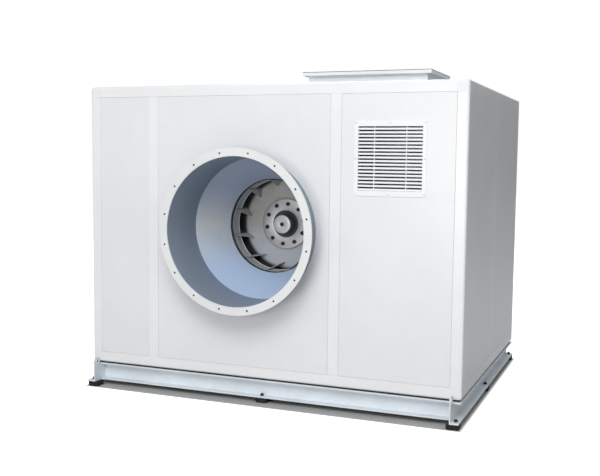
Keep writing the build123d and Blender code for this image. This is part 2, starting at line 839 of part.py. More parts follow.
def shroud_side(offset):
    """Line of the shroud's passage side, from the collar to the rim, as (radius, y)."""
    centre_r = COLLAR_R + SHROUD_BEND_R
    bend = SHROUD_BEND_R + offset
    steps = 6
    points = [(COLLAR_R - offset, WHEEL_START)]
    for i in range(steps + 1):
        angle = radians(90.0 * i / steps)
        points.append((centre_r - bend * cos(angle), COLLAR_END + bend * sin(angle)))
    rim_y = COLLAR_END + SHROUD_BEND_R + SHROUD_RISE
    points.append((WHEEL_R, rim_y + offset))
    return points


def wheel_shroud():
    return turned(shroud_side(0.0) + shroud_side(-SHROUD_T)[::-1])


def wheel_blades():
    """Backward-curved blades that end in a slanting front edge inside the collar."""
    points = []
    for radius, sweep in (
        (BLADE_ROOT_R, 0.0), (BLADE_MID_R, BLADE_MID_SWEEP), (WHEEL_R, BLADE_TIP_SWEEP)
    ):
        points.append(at_angle(radius, BLADE_FIRST - sweep, 0, 0))
    plate = prism_y(trace(ThreePointArc(*points), BLADE_T), WHEEL_START, BACKPLATE_Y)
    front = WHEEL_START + BLADE_FRONT_SETBACK
    inside = [p for p in shroud_side(WELD_GAP) if p[1] > front]
    tip_r = WHEEL_R - BLADE_TIP_SETBACK
    edge_y = inside[-1][1]
    passage = [(BLADE_FRONT_R, front), (COLLAR_R - WELD_GAP, front)] + inside[:-1]
    passage += [(tip_r, edge_y), (tip_r, BACKPLATE_Y), (BLADE_BACK_R, BACKPLATE_Y)]
    blade = plate & turned(passage, 0, 0)
    return [
        Pos(AXIS_X, 0, AXIS_Z) * Rot(0, -angle, 0) * blade for angle in around(BLADES)
    ]


def hub_bolt_places():
    return [at_angle(HUB_BOLT_PCD_R, angle) for angle in around(HUB_BOLTS, HUB_BOLT_FIRST)]


def drilled(shape, y0, y1):
    """The shape with the hub bolts' clearance holes between two depths."""
    for x, z in hub_bolt_places():
        shape -= rod_y(HUB_BOLT_R + BOLT_SLACK, y0 - 1, y1 + 1, x, z)
    return shape


def wheel_backplate():
    plate = ring_y(WHEEL_R, HUB_NOSE_R + NOSE_FIT, BACKPLATE_Y, BACKPLATE_Y + BACKPLATE_T)
    return drilled(plate, BACKPLATE_Y, BACKPLATE_Y + BACKPLATE_T)


def hub_ring():
    ring = ring_y(HUB_RING_R, HUB_RING_HOLE_R, BACKPLATE_Y - HUB_RING_T, BACKPLATE_Y)
    return drilled(ring, BACKPLATE_Y - HUB_RING_T, BACKPLATE_Y)


def wheel_hub():
    """Hub with a flange behind the backplate and a nose that stands out in front of it."""
    bore = SHAFT_R + SHAFT_FIT
    flange_y = BACKPLATE_Y + BACKPLATE_T
    profile = [
        (bore, NOSE_FRONT), (HUB_NOSE_R, NOSE_FRONT), (HUB_NOSE_R, flange_y), (HUB_RING_R, flange_y),
        (HUB_RING_R, HUB_REAR), (HUB_BODY_R, HUB_REAR), (HUB_BODY_R, HUB_END), (bore, HUB_END),
    ]
    return drilled(turned(profile), flange_y, HUB_REAR)


def hub_bolts():
    """Hexagon bolts through ring, backplate and hub flange, each with its nut."""
    face = BACKPLATE_Y - HUB_RING_T
    result = []
    for x, z in hub_bolt_places():
        bolt = rod_y(HUB_BOLT_R, face - 1, HUB_REAR + NUT_T + 3, x, z)
        bolt += hex_y(HUB_BOLT_AF, face - HUB_BOLT_HEAD, face, x, z)
        nut = hex_y(HUB_BOLT_AF, HUB_REAR, HUB_REAR + NUT_T, x, z)
        nut -= rod_y(HUB_BOLT_R + BOLT_SLACK / 3, HUB_REAR - 1, HUB_REAR + 2 * NUT_T, x, z)
        result += [bolt, nut]
    return result


def fan_shaft():
    shaft = rod_y(SHAFT_R, NOSE_FRONT, SHAFT_END)
    return shaft - rod_y(END_BOLT_R + SHAFT_FIT, NOSE_FRONT - 1, NOSE_FRONT + END_BOLT_LENGTH)


def shaft_end_disc():
    """Retaining disc on the hub's nose, and the socket screw that holds it."""
    face = NOSE_FRONT - END_DISC_T
    disc = ring_y(HUB_NOSE_R - 1, END_BOLT_R + NOSE_FIT, face, NOSE_FRONT)
    disc -= rod_y(END_DISC_HOLE_R, face - 1, face + END_DISC_T * 0.6)
    seat = face + END_DISC_T * 0.6
    screw = rod_y(END_BOLT_R, seat - 1, NOSE_FRONT + END_BOLT_LENGTH - 4)
    screw += rod_y(END_DISC_HOLE_R - NOSE_FIT, seat - 4, seat)
    screw -= rod_y(END_BOLT_SOCKET_R, seat - 5, seat - 1)
    return [disc, screw]


# ---- bearings ----


def bearing_housings():
    """Two pillow blocks; the bore is the outer race, closed by a cover at each side."""
    result = []
    for y in (BEARING_FRONT, BEARING_REAR):
        y0, y1 = y - HOUSING_W / 2, y + HOUSING_W / 2
        body = rod_y(HOUSING_R, y0, y1)
        foot_half = HOUSING_FOOT_W / 2
        body += block(
            AXIS_X - foot_half, AXIS_X + foot_half, y0, y1, PEDESTAL_Z, PEDESTAL_Z + HOUSING_FOOT_T
        )
        body += block(AXIS_X - HOUSING_R, AXIS_X + HOUSING_R, y0, y1, PEDESTAL_Z, AXIS_Z)
        body -= rod_y(SHAFT_R + SHAFT_CLEARANCE, y0 - 1, y1 + 1)
        body -= rod_y(HOUSING_BORE_R, y0 + HOUSING_COVER_T, y1 - HOUSING_COVER_T)
        for x in (AXIS_X - HOUSING_BOLT_X, AXIS_X + HOUSING_BOLT_X):
            body -= rod_z(DRIVE_BOLT_R + BOLT_SLACK, PEDESTAL_Z - 1, AXIS_Z, x, y)
        result.append(body)
    return result


def bearing_inner_rings():
    outer = SHAFT_R + INNER_RING_T
    half = INNER_RING_W / 2
    return [ring_y(outer, SHAFT_R + SHAFT_FIT, y - half, y + half) for y in (BEARING_FRONT, BEARING_REAR)]


def bearing_balls():
    inner = SHAFT_R + INNER_RING_T
    ball_r = (HOUSING_BORE_R - inner) / 2 - BALL_GAP
    result = []
    for y in (BEARING_FRONT, BEARING_REAR):
        for angle in around(BALLS):
            x, z = at_angle((HOUSING_BORE_R + inner) / 2, angle)
            result.append(Pos(x, y, z) * Sphere(ball_r))
    return result


def bearing_pedestal():
    """Welded stand: top plate on four legs with braces, on the drive beams."""
    top = PEDESTAL_Z - PEDESTAL_TOP_T
    stand = block(
        AXIS_X - PEDESTAL_HALF_W, AXIS_X + PEDESTAL_HALF_W, PEDESTAL_FRONT, PEDESTAL_REAR, top, PEDESTAL_Z
    )
    half = LEG / 2
    for x in (AXIS_X - LEG_OFFSET, AXIS_X + LEG_OFFSET):
        for y in (FOOT_FRONT_Y, FOOT_REAR_Y):
            stand += block(x - half, x + half, y - half, y + half, DRIVE_BEAM_TOP, top)
        stand += block(x - half, x + half, FOOT_FRONT_Y, FOOT_REAR_Y, BRACE_Z, BRACE_Z + BRACE_H)
    for y in (FOOT_FRONT_Y, FOOT_REAR_Y):
        stand += block(
            AXIS_X - LEG_OFFSET, AXIS_X + LEG_OFFSET, y - half, y + half, BRACE_Z, BRACE_Z + BRACE_H
        )
    for y in (BEARING_FRONT, BEARING_REAR):
        for x in (AXIS_X - HOUSING_BOLT_X, AXIS_X + HOUSING_BOLT_X):
            stand -= rod_z(DRIVE_BOLT_R + BOLT_SLACK, top - 1, PEDESTAL_Z + 1, x, y)
    return stand


def drive_beams():
    half = DRIVE_BEAM_W / 2
    x0, x1 = DRIVE_BEAM_INSET, CAB_W - DRIVE_BEAM_INSET
    return [
        tube_along("x", x0, x1, y - half, y + half, DRIVE_BEAM_Z, DRIVE_BEAM_TOP, DRIVE_BEAM_WALL)
        for y in (FOOT_FRONT_Y, FOOT_REAR_Y)
    ]


def drive_bolts():
    """Bolts of the bearing housings and of the motor's feet."""
    result = []
    for y in (BEARING_FRONT, BEARING_REAR):
        for x in (AXIS_X - HOUSING_BOLT_X, AXIS_X + HOUSING_BOLT_X):
            seat = PEDESTAL_Z + HOUSING_FOOT_T
            bolt = rod_z(DRIVE_BOLT_HEAD_R, seat, seat + DRIVE_BOLT_HEAD, x, y)
            result.append(bolt + rod_z(DRIVE_BOLT_R, PEDESTAL_Z - PEDESTAL_TOP_T, seat + 1, x, y))
    for x, y in foot_bolt_places():
        seat = RAIL_TOP + FOOT_T
        bolt = rod_z(DRIVE_BOLT_HEAD_R, seat, seat + DRIVE_BOLT_HEAD, x, y)
        result.append(bolt + rod_z(DRIVE_BOLT_R, RAIL_TOP - DRIVE_BOLT_GRIP, seat + 1, x, y))
    return result


# ---- belt drive ----


def belt_places():
    """Middle of each belt along Y."""
    return [PULLEY_Y + BELT_PITCH * (i - (BELTS - 1) / 2) for i in range(BELTS)]


def grooved(rim, radius, x, z):
    """The rim with its belt grooves turned into it."""
    bottom = GROOVE_HALF_W - GROOVE_DEPTH * GROOVE_SLOPE
    top = GROOVE_HALF_W + GROOVE_SLOPE
    for y in belt_places():
        points = [
            (radius + 1, y - top), (radius - GROOVE_DEPTH, y - bottom),
            (radius - GROOVE_DEPTH, y + bottom), (radius + 1, y + top),
        ]
        rim -= turned(points, x, z)
    return rim


def driven_pulley():
    y0, y1 = PULLEY_Y - PULLEY_W / 2, PULLEY_Y + PULLEY_W / 2
    web = PULLEY_WEB_T / 2
    pulley = ring_y(PULLEY_BIG_R, PULLEY_BIG_R - PULLEY_RIM_T, y0, y1)
    pulley += ring_y(PULLEY_BIG_R - PULLEY_RIM_T / 2, SHAFT_R + SHAFT_FIT, PULLEY_Y - web, PULLEY_Y + web)
    pulley += ring_y(PULLEY_HUB_R, SHAFT_R + SHAFT_FIT, y0, y1)
    for angle in around(PULLEY_HOLES):
        x, z = at_angle(PULLEY_HOLE_PCD_R, angle)
        pulley -= rod_y(PULLEY_HOLE_R, y0, y1, x, z)
    return grooved(pulley, PULLEY_BIG_R, AXIS_X, AXIS_Z)


def drive_pulley():
    y0, y1 = PULLEY_Y - PULLEY_W / 2, PULLEY_Y + PULLEY_W / 2
    pulley = ring_y(PULLEY_SMALL_R, MOTOR_SHAFT_R + SHAFT_FIT, y0, y1, MOTOR_X, MOTOR_Z)
    return grooved(pulley, PULLEY_SMALL_R, MOTOR_X, MOTOR_Z)


def belt_section(radius):
    """Belt section at a pulley of that outer radius, centred on y = 0."""
    top = GROOVE_HALF_W - BELT_GAP
    bottom = top - BELT_DEPTH * GROOVE_SLOPE
    points = [
        (radius, -top), (radius - BELT_DEPTH, -bottom), (radius - BELT_DEPTH, bottom), (radius, top)
    ]
    return make_face(Polyline(*points, close=True))


def v_belts():
    """Belts round both pulleys: an arc on each and two straight runs, joined into one loop."""
    dx, dz = MOTOR_X - AXIS_X, MOTOR_Z - AXIS_Z
    distance = hypot(dx, dz)
    line = degrees(atan2(dz, dx))
    lean = degrees(acos((PULLEY_BIG_R - PULLEY_SMALL_R) / distance))
    run = sqrt(distance**2 - (PULLEY_BIG_R - PULLEY_SMALL_R) ** 2)
    big_arc = revolve(belt_section(PULLEY_BIG_R), Axis.Y, revolution_arc=360 - 2 * lean)
    small_arc = revolve(belt_section(PULLEY_SMALL_R), Axis.Y, revolution_arc=2 * lean)
    loop = Pos(AXIS_X, 0, AXIS_Z) * Rot(0, -(line - lean), 0) * big_arc
    loop += Pos(MOTOR_X, 0, MOTOR_Z) * Rot(0, -(line + lean), 0) * small_arc
    for side in (1, -1):
        angle = radians(line + side * lean)
        out = Vector(cos(angle), 0, sin(angle))
        along = Vector(sin(angle), 0, -cos(angle)) * side
        plane = Plane(origin=(AXIS_X, 0, AXIS_Z), x_dir=out, z_dir=along)
        loop += extrude(plane * belt_section(PULLEY_BIG_R), amount=run)
    return [Pos(0, y, 0) * loop for y in belt_places()]


# ---- motor ----


def motor_feet():
    """Feet on the slide rails, each with the web that joins it to the motor's body."""
    half = FOOT_W / 2
    y0, y1 = FOOT_FRONT_Y - FOOT_LAP, FOOT_REAR_Y + FOOT_LAP
    web_y0, web_y1 = MOTOR_MIDDLE - FOOT_WEB_HALF, MOTOR_MIDDLE + FOOT_WEB_HALF
    web_top = MOTOR_Z - FOOT_WEB_DROP
    left, right = MOTOR_X - FOOT_X, MOTOR_X + FOOT_X
    feet = block(left - half, left + half, y0, y1, RAIL_TOP, RAIL_TOP + FOOT_T)
    feet += block(right - half, right + half, y0, y1, RAIL_TOP, RAIL_TOP + FOOT_T)
    feet += block(left, left + half, web_y0, web_y1, RAIL_TOP, web_top)
    feet += block(right - half, right, web_y0, web_y1, RAIL_TOP, web_top)
    return feet


def foot_bolt_places():
    return [(MOTOR_X + dx, y) for y in (FOOT_FRONT_Y, FOOT_REAR_Y) for dx in (-FOOT_X, FOOT_X)]


def motor_frame():
    """Finned motor body with the stator inside it, its feet and the terminal box's seat."""
    body = ring_y(MOTOR_R, STATOR_BORE_R, MOTOR_FRONT, MOTOR_REAR, MOTOR_X, MOTOR_Z)
    fin_half = FIN_T / 2
    fin = block(
        MOTOR_R - FIN_ROOT, MOTOR_R + FIN_H, MOTOR_FRONT + FIN_INSET, MOTOR_REAR - FIN_INSET,
        -fin_half, fin_half,
    )
    for angle in around(FINS, 180.0 / FINS):
        body += Pos(MOTOR_X, 0, MOTOR_Z) * Rot(0, -angle, 0) * fin
    neck = BOX_NECK / 2
    seat_low = MOTOR_Z + STATOR_BORE_R + FIN_INSET
    body += block(
        MOTOR_X - neck, MOTOR_X + neck, MOTOR_MIDDLE - neck, MOTOR_MIDDLE + neck, seat_low, BOX_Z
    )
    body += motor_feet()
    foot_top = RAIL_TOP + FOOT_T
    head_top = foot_top + DRIVE_BOLT_HEAD + 3 * BOLT_HEAD_ROOM
    for x, y in foot_bolt_places():
        body -= rod_z(FOOT_HOLE_R, RAIL_TOP - 1, foot_top + 1, x, y)
        body -= rod_z(DRIVE_BOLT_HEAD_R + BOLT_HEAD_ROOM, foot_top, head_top, x, y)
    return body - rod_y(STATOR_BORE_R, 0, CAB_D, MOTOR_X, MOTOR_Z)


def motor_end_shields():
    bore = MOTOR_SHAFT_R + MOTOR_SHAFT_GAP
    rear = ring_y(MOTOR_R, bore, MOTOR_REAR, MOTOR_REAR + SHIELD_REAR_T, MOTOR_X, MOTOR_Z)
    front = ring_y(MOTOR_R, bore, MOTOR_FRONT - SHIELD_FRONT_T, MOTOR_FRONT, MOTOR_X, MOTOR_Z)
    last_edge = rear.edges().filter_by(GeomType.CIRCLE).sort_by(Axis.Y)[-1:]
    return [front, chamfer(last_edge, SHIELD_CHAMFER)]


def motor_rotor():
    core = rod_y(ROTOR_R, MOTOR_FRONT + ROTOR_END_GAP, MOTOR_REAR - ROTOR_END_GAP, MOTOR_X, MOTOR_Z)
    tail = MOTOR_FRONT - SHIELD_FRONT_T - FAN_W - SHAFT_TAIL
    return core + rod_y(MOTOR_SHAFT_R, tail, MOTOR_SHAFT_END, MOTOR_X, MOTOR_Z)


def motor_fan():
    """Cooling fan on the motor shaft's tail, under the cowl."""
    back = MOTOR_FRONT - SHIELD_FRONT_T - FAN_GAP
    front = back - FAN_W
    bore = MOTOR_SHAFT_R + SHAFT_FIT
    half = FAN_BLADE_T / 2
    fan = ring_y(FAN_HUB_R, bore, front, back, MOTOR_X, MOTOR_Z)
    fan += ring_y(FAN_R, bore, back - FAN_DISC_T, back, MOTOR_X, MOTOR_Z)
    blade = block(FAN_HUB_R - FAN_BLADE_T, FAN_R, front, back - FAN_DISC_T / 2, -half, half)
    for angle in around(FAN_BLADES):
        fan += Pos(MOTOR_X, 0, MOTOR_Z) * Rot(0, -angle, 0) * blade
    return fan


def motor_cowl():
    """Sheet cover over the cooling fan, with rings of air holes in its end."""
    rear = MOTOR_FRONT
    front = rear - COWL_LENGTH
    inner = MOTOR_R + COWL_GAP
    outer = inner + COWL_T
    mouth = COWL_MOUTH_R
    profile = [
        (mouth, front), (outer, front), (outer, rear), (inner, rear), (inner, front + COWL_T),
        (mouth, front + COWL_T),
    ]
    cowl = turned(profile, MOTOR_X, MOTOR_Z)
    for radius, count in COWL_HOLE_RINGS:
        for angle in around(count):
            x, z = at_angle(radius, angle, MOTOR_X, MOTOR_Z)
            cowl -= rod_y(COWL_HOLE_R, front - 1, front + COWL_T + 1, x, z)
    return cowl


def terminal_box():
    """Hollow box on the motor's top, with its lid and a capped cable gland."""
    x0, x1 = MOTOR_X - BOX_W / 2, MOTOR_X + BOX_W / 2
    y0, y1 = MOTOR_MIDDLE - BOX_L / 2, MOTOR_MIDDLE + BOX_L / 2
    top = BOX_Z + BOX_H
    box = block(x0, x1, y0, y1, BOX_Z, top)
    box = fillet(box.edges().filter_by(Axis.Z), BOX_CORNER_R)
    box -= block(
        x0 + BOX_WALL, x1 - BOX_WALL, y0 + BOX_WALL, y1 - BOX_WALL, BOX_Z + BOX_WALL, top + 1
    )
    gland = Pos(x1 + GLAND_LENGTH / 2, MOTOR_MIDDLE, BOX_Z + BOX_H / 2) * Rot(0, 90, 0)
    box += gland * Cylinder(GLAND_R, GLAND_LENGTH)
    edge = BOX_LID_EDGE
    lid = block(x0 - edge, x1 + edge, y0 - edge, y1 + edge, top, top + BOX_LID_T)
    return [box, fillet(lid.edges().filter_by(Axis.Z), BOX_CORNER_R)]


def slide_rails():
    """Slotted rails that the motor is moved along to tighten the belts."""
    result = []
    half = FOOT_W / 2
    slot = RAIL_SLOT_W / 2
    for y in (FOOT_FRONT_Y, FOOT_REAR_Y):
        rail = block(MOTOR_X - RAIL_HALF, MOTOR_X + RAIL_HALF, y - half, y + half, DRIVE_BEAM_TOP, RAIL_TOP)
        rail -= block(
            MOTOR_X - RAIL_SLOT_HALF, MOTOR_X + RAIL_SLOT_HALF, y - slot, y + slot,
            RAIL_TOP - RAIL_SLOT_DEPTH, RAIL_TOP + 1,
        )
        result.append(rail)
    return result


# ---- base ----


def around_base(inset):
    """Places along the beams, the inset in from their outer edges: six at the sides, two between."""
    places = []
    for x in (inset, CAB_W - inset):
        places += [(x, -BEAM_REACH + PAD_END), (x, SIDE_PAD_Y), (x, CAB_D + BEAM_REACH - PAD_END)]
    front = BEAM_SETBACK + inset
    return places + [(FRONT_PAD_X, front), (FRONT_PAD_X, CAB_D - front)]


def studs_cut(shape):
    """The shape with the pads' stud holes drilled through its bottom flange."""
    for x, y in around_base(FLANGE_MIDDLE):
        shape -= rod_z(STUD_R + STUD_SLACK, BEAM_BOTTOM - 1, BEAM_BOTTOM + BEAM_FLANGE + 1, x, y)
    return shape


def side_channel():
    """Left channel, its hollow side outwards, cut down at its ends to seat the lugs."""
    y0, y1 = -BEAM_REACH, CAB_D + BEAM_REACH
    top = -SEAL_H
    web_x = BEAM_W - BEAM_WEB
    seat = top - LUG_SEAT
    beam = block(web_x, BEAM_W, y0, y1, BEAM_BOTTOM, seat)
    beam += block(web_x, BEAM_W, y0 + LUG_W, y1 - LUG_W, seat, top)
    beam += block(0, BEAM_W, y0, y1, BEAM_BOTTOM, BEAM_BOTTOM + BEAM_FLANGE)
    beam += block(0, BEAM_W, y0 + LUG_W, y1 - LUG_W, top - BEAM_FLANGE, top)
    return studs_cut(beam)


def lifting_lug(start):
    """Round-headed plate in line with the left channel's web, bored for a shackle pin."""
    head = -SEAL_H + LUG_RISE
    head_r = (LUG_W - LUG_FLAT) / 2
    lug = block(BEAM_W - BEAM_WEB, BEAM_W, start, start + LUG_W, -SEAL_H - LUG_SEAT, head)
    lug = fillet(lug.edges().filter_by(Axis.X).sort_by(Axis.Z)[-2:], head_r)
    hole = Pos(BEAM_W / 2, start + LUG_W / 2, head - head_r) * Rot(0, 90, 0)
    return lug - hole * Cylinder(LUG_HOLE_R, 2 * BEAM_W)


def base_side_beams():
    """Channels under the cabinet's sides, with a lifting lug welded on at each end."""
    ends = (-BEAM_REACH, CAB_D + BEAM_REACH - LUG_W)
    return mirrored([side_channel()] + [lifting_lug(start) for start in ends], MID_X)


def base_cross_beams():
    """Front and rear channels between the side beams, and two joists under the mullions."""
    x0, x1 = BEAM_W, CAB_W - BEAM_W
    top = -SEAL_H
    y0, y1 = BEAM_SETBACK, BEAM_SETBACK + BEAM_W
    beam = block(x0, x1, y1 - BEAM_WEB, y1, BEAM_BOTTOM, top)
    beam += block(x0, x1, y0, y1, BEAM_BOTTOM, BEAM_BOTTOM + BEAM_FLANGE)
    beam += block(x0, x1, y0, y1, top - BEAM_FLANGE, top)
    rear = mirror(beam, about=MID_Y)
    half = CROSS_BEAM_W / 2
    joists = [
        tube_along("y", x - half, x + half, y1, CAB_D - y1, BEAM_BOTTOM, top, BEAM_WEB)
        for x in (MULLION_LEFT, MULLION_RIGHT)
    ]
    return [studs_cut(beam), studs_cut(rear)] + joists


def base_gasket():
    inset = SEAL_INSET
    inner = SEAL_INSET + SEAL_W
    outer = block(inset, CAB_W - inset, inset, CAB_D - inset, -SEAL_H, 0)
    ring = outer - block(inner, CAB_W - inner, inner, CAB_D - inner, -2 * SEAL_H, SEAL_H)
    half = CROSS_BEAM_W / 2
    strips = [
        block(x - half, x + half, inner, CAB_D - inner, -SEAL_H, 0) for x in (MULLION_LEFT, MULLION_RIGHT)
    ]
    return [ring] + strips


def rubber_pads():
    half = PAD_W / 2
    result = []
    for x, y in around_base(half):
        pad = block(x - half, x + half, y - half, y + half, BEAM_BOTTOM - PAD_H, BEAM_BOTTOM)
        result.append(fillet(pad.edges().filter_by(Axis.Z), PAD_CORNER_R))
    return result


def pad_bolts():
    """Stud and nut that hold each pad to the bottom flange."""
    flange_top = BEAM_BOTTOM + BEAM_FLANGE
    nut_top = flange_top + STUD_NUT_H
    result = []
    for x, y in around_base(FLANGE_MIDDLE):
        sketch = Pos(x, y) * RegularPolygon(STUD_NUT_R, 6)
        nut = extrude(Plane.XY.offset(flange_top) * sketch, amount=STUD_NUT_H)
        result.append(nut + rod_z(STUD_R, BEAM_BOTTOM, nut_top + STUD_TIP, x, y))
    return result


# ---- rear service door ----


def latch_places():
    """Latch spindles as (x, z), at the door's free edge."""
    x = BAY_X[2][0] + LATCH_INSET
    return [(x, LATCH_LOW), (x, LATCH_HIGH)]


def hinge_axis():
    """Hinge line as (x, y), outside the rear face beside the corner post."""
    return BAY_X[2][1], CAB_D + HINGE_AXIS_OUT


def rear_door():
    return casing(bays_of("rear")[2], DOOR_GAP, PANEL_T - DOOR_SEAL_GAP, latch_cut)


def hinge_knuckle(z0, z1):
    x, y = hinge_axis()
    return rod_z(HINGE_R, z0, z1, x, y)


def door_hinges_fixed():
    """Hinge halves on the corner post: a leaf, the lower knuckle and the pin."""
    x, y = hinge_axis()
    result = []
    for z in (HINGE_LOW, HINGE_HIGH):
        middle = z + HINGE_H / 2
        half = block(x + HINGE_PLAY, x + HINGE_LEAF_W, CAB_D, CAB_D + HINGE_LEAF_T, z, z + HINGE_H)
        half -= rod_z(HINGE_R + HINGE_PLAY, middle, z + HINGE_H + 1, x, y)
        half += hinge_knuckle(z, middle - HINGE_PLAY / 2)
        half += rod_z(HINGE_PIN_R, z + 1, z + HINGE_H, x, y)
        result.append(half)
    return result


def door_hinges_moving():
    """Hinge halves on the door: a leaf and the upper knuckle, bored for the pin."""
    x, y = hinge_axis()
    result = []
    for z in (HINGE_LOW, HINGE_HIGH):
        middle = z + HINGE_H / 2
        half = block(x - HINGE_LEAF_W, x - HINGE_PLAY, CAB_D, CAB_D + HINGE_LEAF_T, z, z + HINGE_H)
        half -= rod_z(HINGE_R + HINGE_PLAY, z - 1, middle, x, y)
        half += hinge_knuckle(middle + HINGE_PLAY / 2, z + HINGE_H)
        half -= rod_z(HINGE_PIN_R + HINGE_PIN_GAP, z - 1, z + HINGE_H + 1, x, y)
        result.append(half)
    return result


def latch(x, z):
    """Quarter-turn latch, released: lever, spindle with its rose through the door, and cam."""
    inside = CAB_D - PROFILE - LATCH_CAM_GAP
    lever_y = CAB_D + LATCH_ROSE_T + LATCH_NECK
    rose_y = CAB_D + LATCH_ROSE_GAP
    spindle = rod_y(LATCH_SPINDLE_R, inside, lever_y, x, z)
    spindle += rod_y(LATCH_ROSE_R, rose_y, rose_y + LATCH_ROSE_T, x, z)
    half = LATCH_LEVER_W / 2
    lever = block(
        x - half, x + half, lever_y, lever_y + LATCH_LEVER_T, z - LATCH_ROSE_R, z + LATCH_LEVER_L
    )
    lever = fillet(lever.edges().filter_by(Axis.Y), half - 1)
    half = LATCH_CAM_W / 2
    cam = block(x - half, x + half, inside - LATCH_CAM_T, inside, z - half, z + LATCH_CAM_REACH)
    return [lever, spindle, cam]


def main():
    os.makedirs("parts", exist_ok=True)
    save("corner_posts", corner_posts())
    save("frame_rails", frame_rails())
    save("corner_blocks", corner_blocks())
    save("mullions", mullions())
    save("roof_bars", roof_bars())
    save("floor_bars", floor_bars())
    save("outlet_curb", outlet_curb())
    save("panel_landings", panel_landings())
    save("panel_front_left", panel_front_left())
    save("panel_front_inlet", panel_front_inlet())
    save("panel_front_louvre", panel_front_louvre())
    save("side_panels", panels("left") + panels("right"))
    save("rear_panels", rear_panels())
    save("roof_panels", panels("roof", curb_cut))
    save("floor_panels", panels("floor"))
    save("louvre_frame", louvre_frame())
    save("louvre_slats", louvre_slats())
    save("inlet_spigot", inlet_spigot())
    save("inlet_cone", inlet_cone())
    save("scroll_wrapper", scroll_wrapper())
    save("scroll_front_plate", scroll_front_plate())
    save("scroll_rear_plate", scroll_rear_plate())
    save("scroll_feet", scroll_feet())
    save("outlet_duct", outlet_duct())
    save("outlet_gasket", outlet_gasket())
    save("flexible_connector", flexible_connector())
    save("wheel_shroud", wheel_shroud())
    save("wheel_blades", wheel_blades())
    save("wheel_backplate", wheel_backplate())
    save("hub_ring", hub_ring())
    save("wheel_hub", wheel_hub())
    save("hub_bolts", hub_bolts())
    save("fan_shaft", fan_shaft())
    save("shaft_end_disc", shaft_end_disc())
    save("bearing_housings", bearing_housings())
    save("bearing_inner_rings", bearing_inner_rings())
    save("bearing_balls", bearing_balls())
    save("bearing_pedestal", bearing_pedestal())
    save("drive_beams", drive_beams())
    save("drive_bolts", drive_bolts())
    save("driven_pulley", driven_pulley())
    save("drive_pulley", drive_pulley())
    save("v_belts", v_belts())
    save("motor_frame", motor_frame())
    save("motor_end_shields", motor_end_shields())
    save("motor_rotor", motor_rotor())
    save("motor_fan", motor_fan())
    save("motor_cowl", motor_cowl())
    save("terminal_box", terminal_box())
    save("slide_rails", slide_rails())
    save("base_side_beams", base_side_beams())
    save("base_cross_beams", base_cross_beams())
    save("base_gasket", base_gasket())
    save("rubber_pads", rubber_pads())
    save("pad_bolts", pad_bolts())
    save("rear_door", rear_door())
    save("door_hinges_fixed", door_hinges_fixed())
    save("door_hinges_moving", door_hinges_moving())
    for name, (x, z) in zip(("latch_lower", "latch_upper"), latch_places()):
        save(name, latch(x, z))


main()
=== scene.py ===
"""Cabinet centrifugal fan: the looks of every piece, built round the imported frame."""

import json
import logging
import math
from dataclasses import dataclass, replace
from enum import Enum

import bmesh
import bpy
from mathutils import Matrix, Vector


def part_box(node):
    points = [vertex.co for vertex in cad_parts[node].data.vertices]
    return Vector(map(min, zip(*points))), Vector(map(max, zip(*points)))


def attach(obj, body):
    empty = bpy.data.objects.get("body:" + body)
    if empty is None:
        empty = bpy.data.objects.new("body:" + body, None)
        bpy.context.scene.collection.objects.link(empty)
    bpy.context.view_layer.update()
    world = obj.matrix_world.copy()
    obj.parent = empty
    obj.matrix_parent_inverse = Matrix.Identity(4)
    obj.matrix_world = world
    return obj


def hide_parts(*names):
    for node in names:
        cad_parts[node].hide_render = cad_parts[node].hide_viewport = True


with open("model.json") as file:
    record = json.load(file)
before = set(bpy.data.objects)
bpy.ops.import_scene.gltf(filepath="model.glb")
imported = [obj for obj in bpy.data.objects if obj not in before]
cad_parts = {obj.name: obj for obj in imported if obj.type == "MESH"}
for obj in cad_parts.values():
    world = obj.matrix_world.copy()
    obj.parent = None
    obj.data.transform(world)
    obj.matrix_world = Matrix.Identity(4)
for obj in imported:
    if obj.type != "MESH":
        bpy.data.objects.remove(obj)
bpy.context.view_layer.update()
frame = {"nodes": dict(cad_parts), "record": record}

MM = 0.001
FINE = 256
ROUND = 96
MEDIUM = 48
SMALL = 32
TINY = 24
MERGE = 2e-6
RELIEF_DEPTH = 0.6 * MM
STRAIGHT = math.radians(165)
SIDE_SHARE = 0.45
TINT_GAIN = 4
WHITE = (1.0, 1.0, 1.0, 1.0)

logging.basicConfig(level=logging.INFO, format="%(message)s")
log = logging.getLogger("cabinet_fan")

Outline = list[tuple[float, float]]
Colour = tuple[float, float, float]
Place = tuple[float, float, float]
Mesh = bpy.types.Mesh
Socket = bpy.types.NodeSocket


# ---------------------------------------------------------------- materials


class Pattern(Enum):
    """What the surface of a finish is like, close up."""

    PEEL = "sprayed coat with a slight orange peel"
    TURNED = "fine rings left by a lathe tool"
    ROLLED = "cold-rolled or drawn metal with fine lines along its length"
    SPANGLE = "zinc with its crystal spangle"
    CAST = "sand-cast metal, grainy"
    MOULDED = "moulded plastic with a fine spark grain"
    CELLS = "foam rubber with open cells"
    WEAVE = "coated canvas with a plain weave"


def linear(colour: Colour) -> tuple[float, float, float, float]:
    """A display colour from 0 to 255 as linear values with full alpha."""
    def one(value: float) -> float:
        """One channel, from display to linear."""
        share = value / 255.0
        return share / 12.92 if share <= 0.04045 else ((share + 0.055) / 1.055) ** 2.4

    return (*[one(value) for value in colour], 1.0)


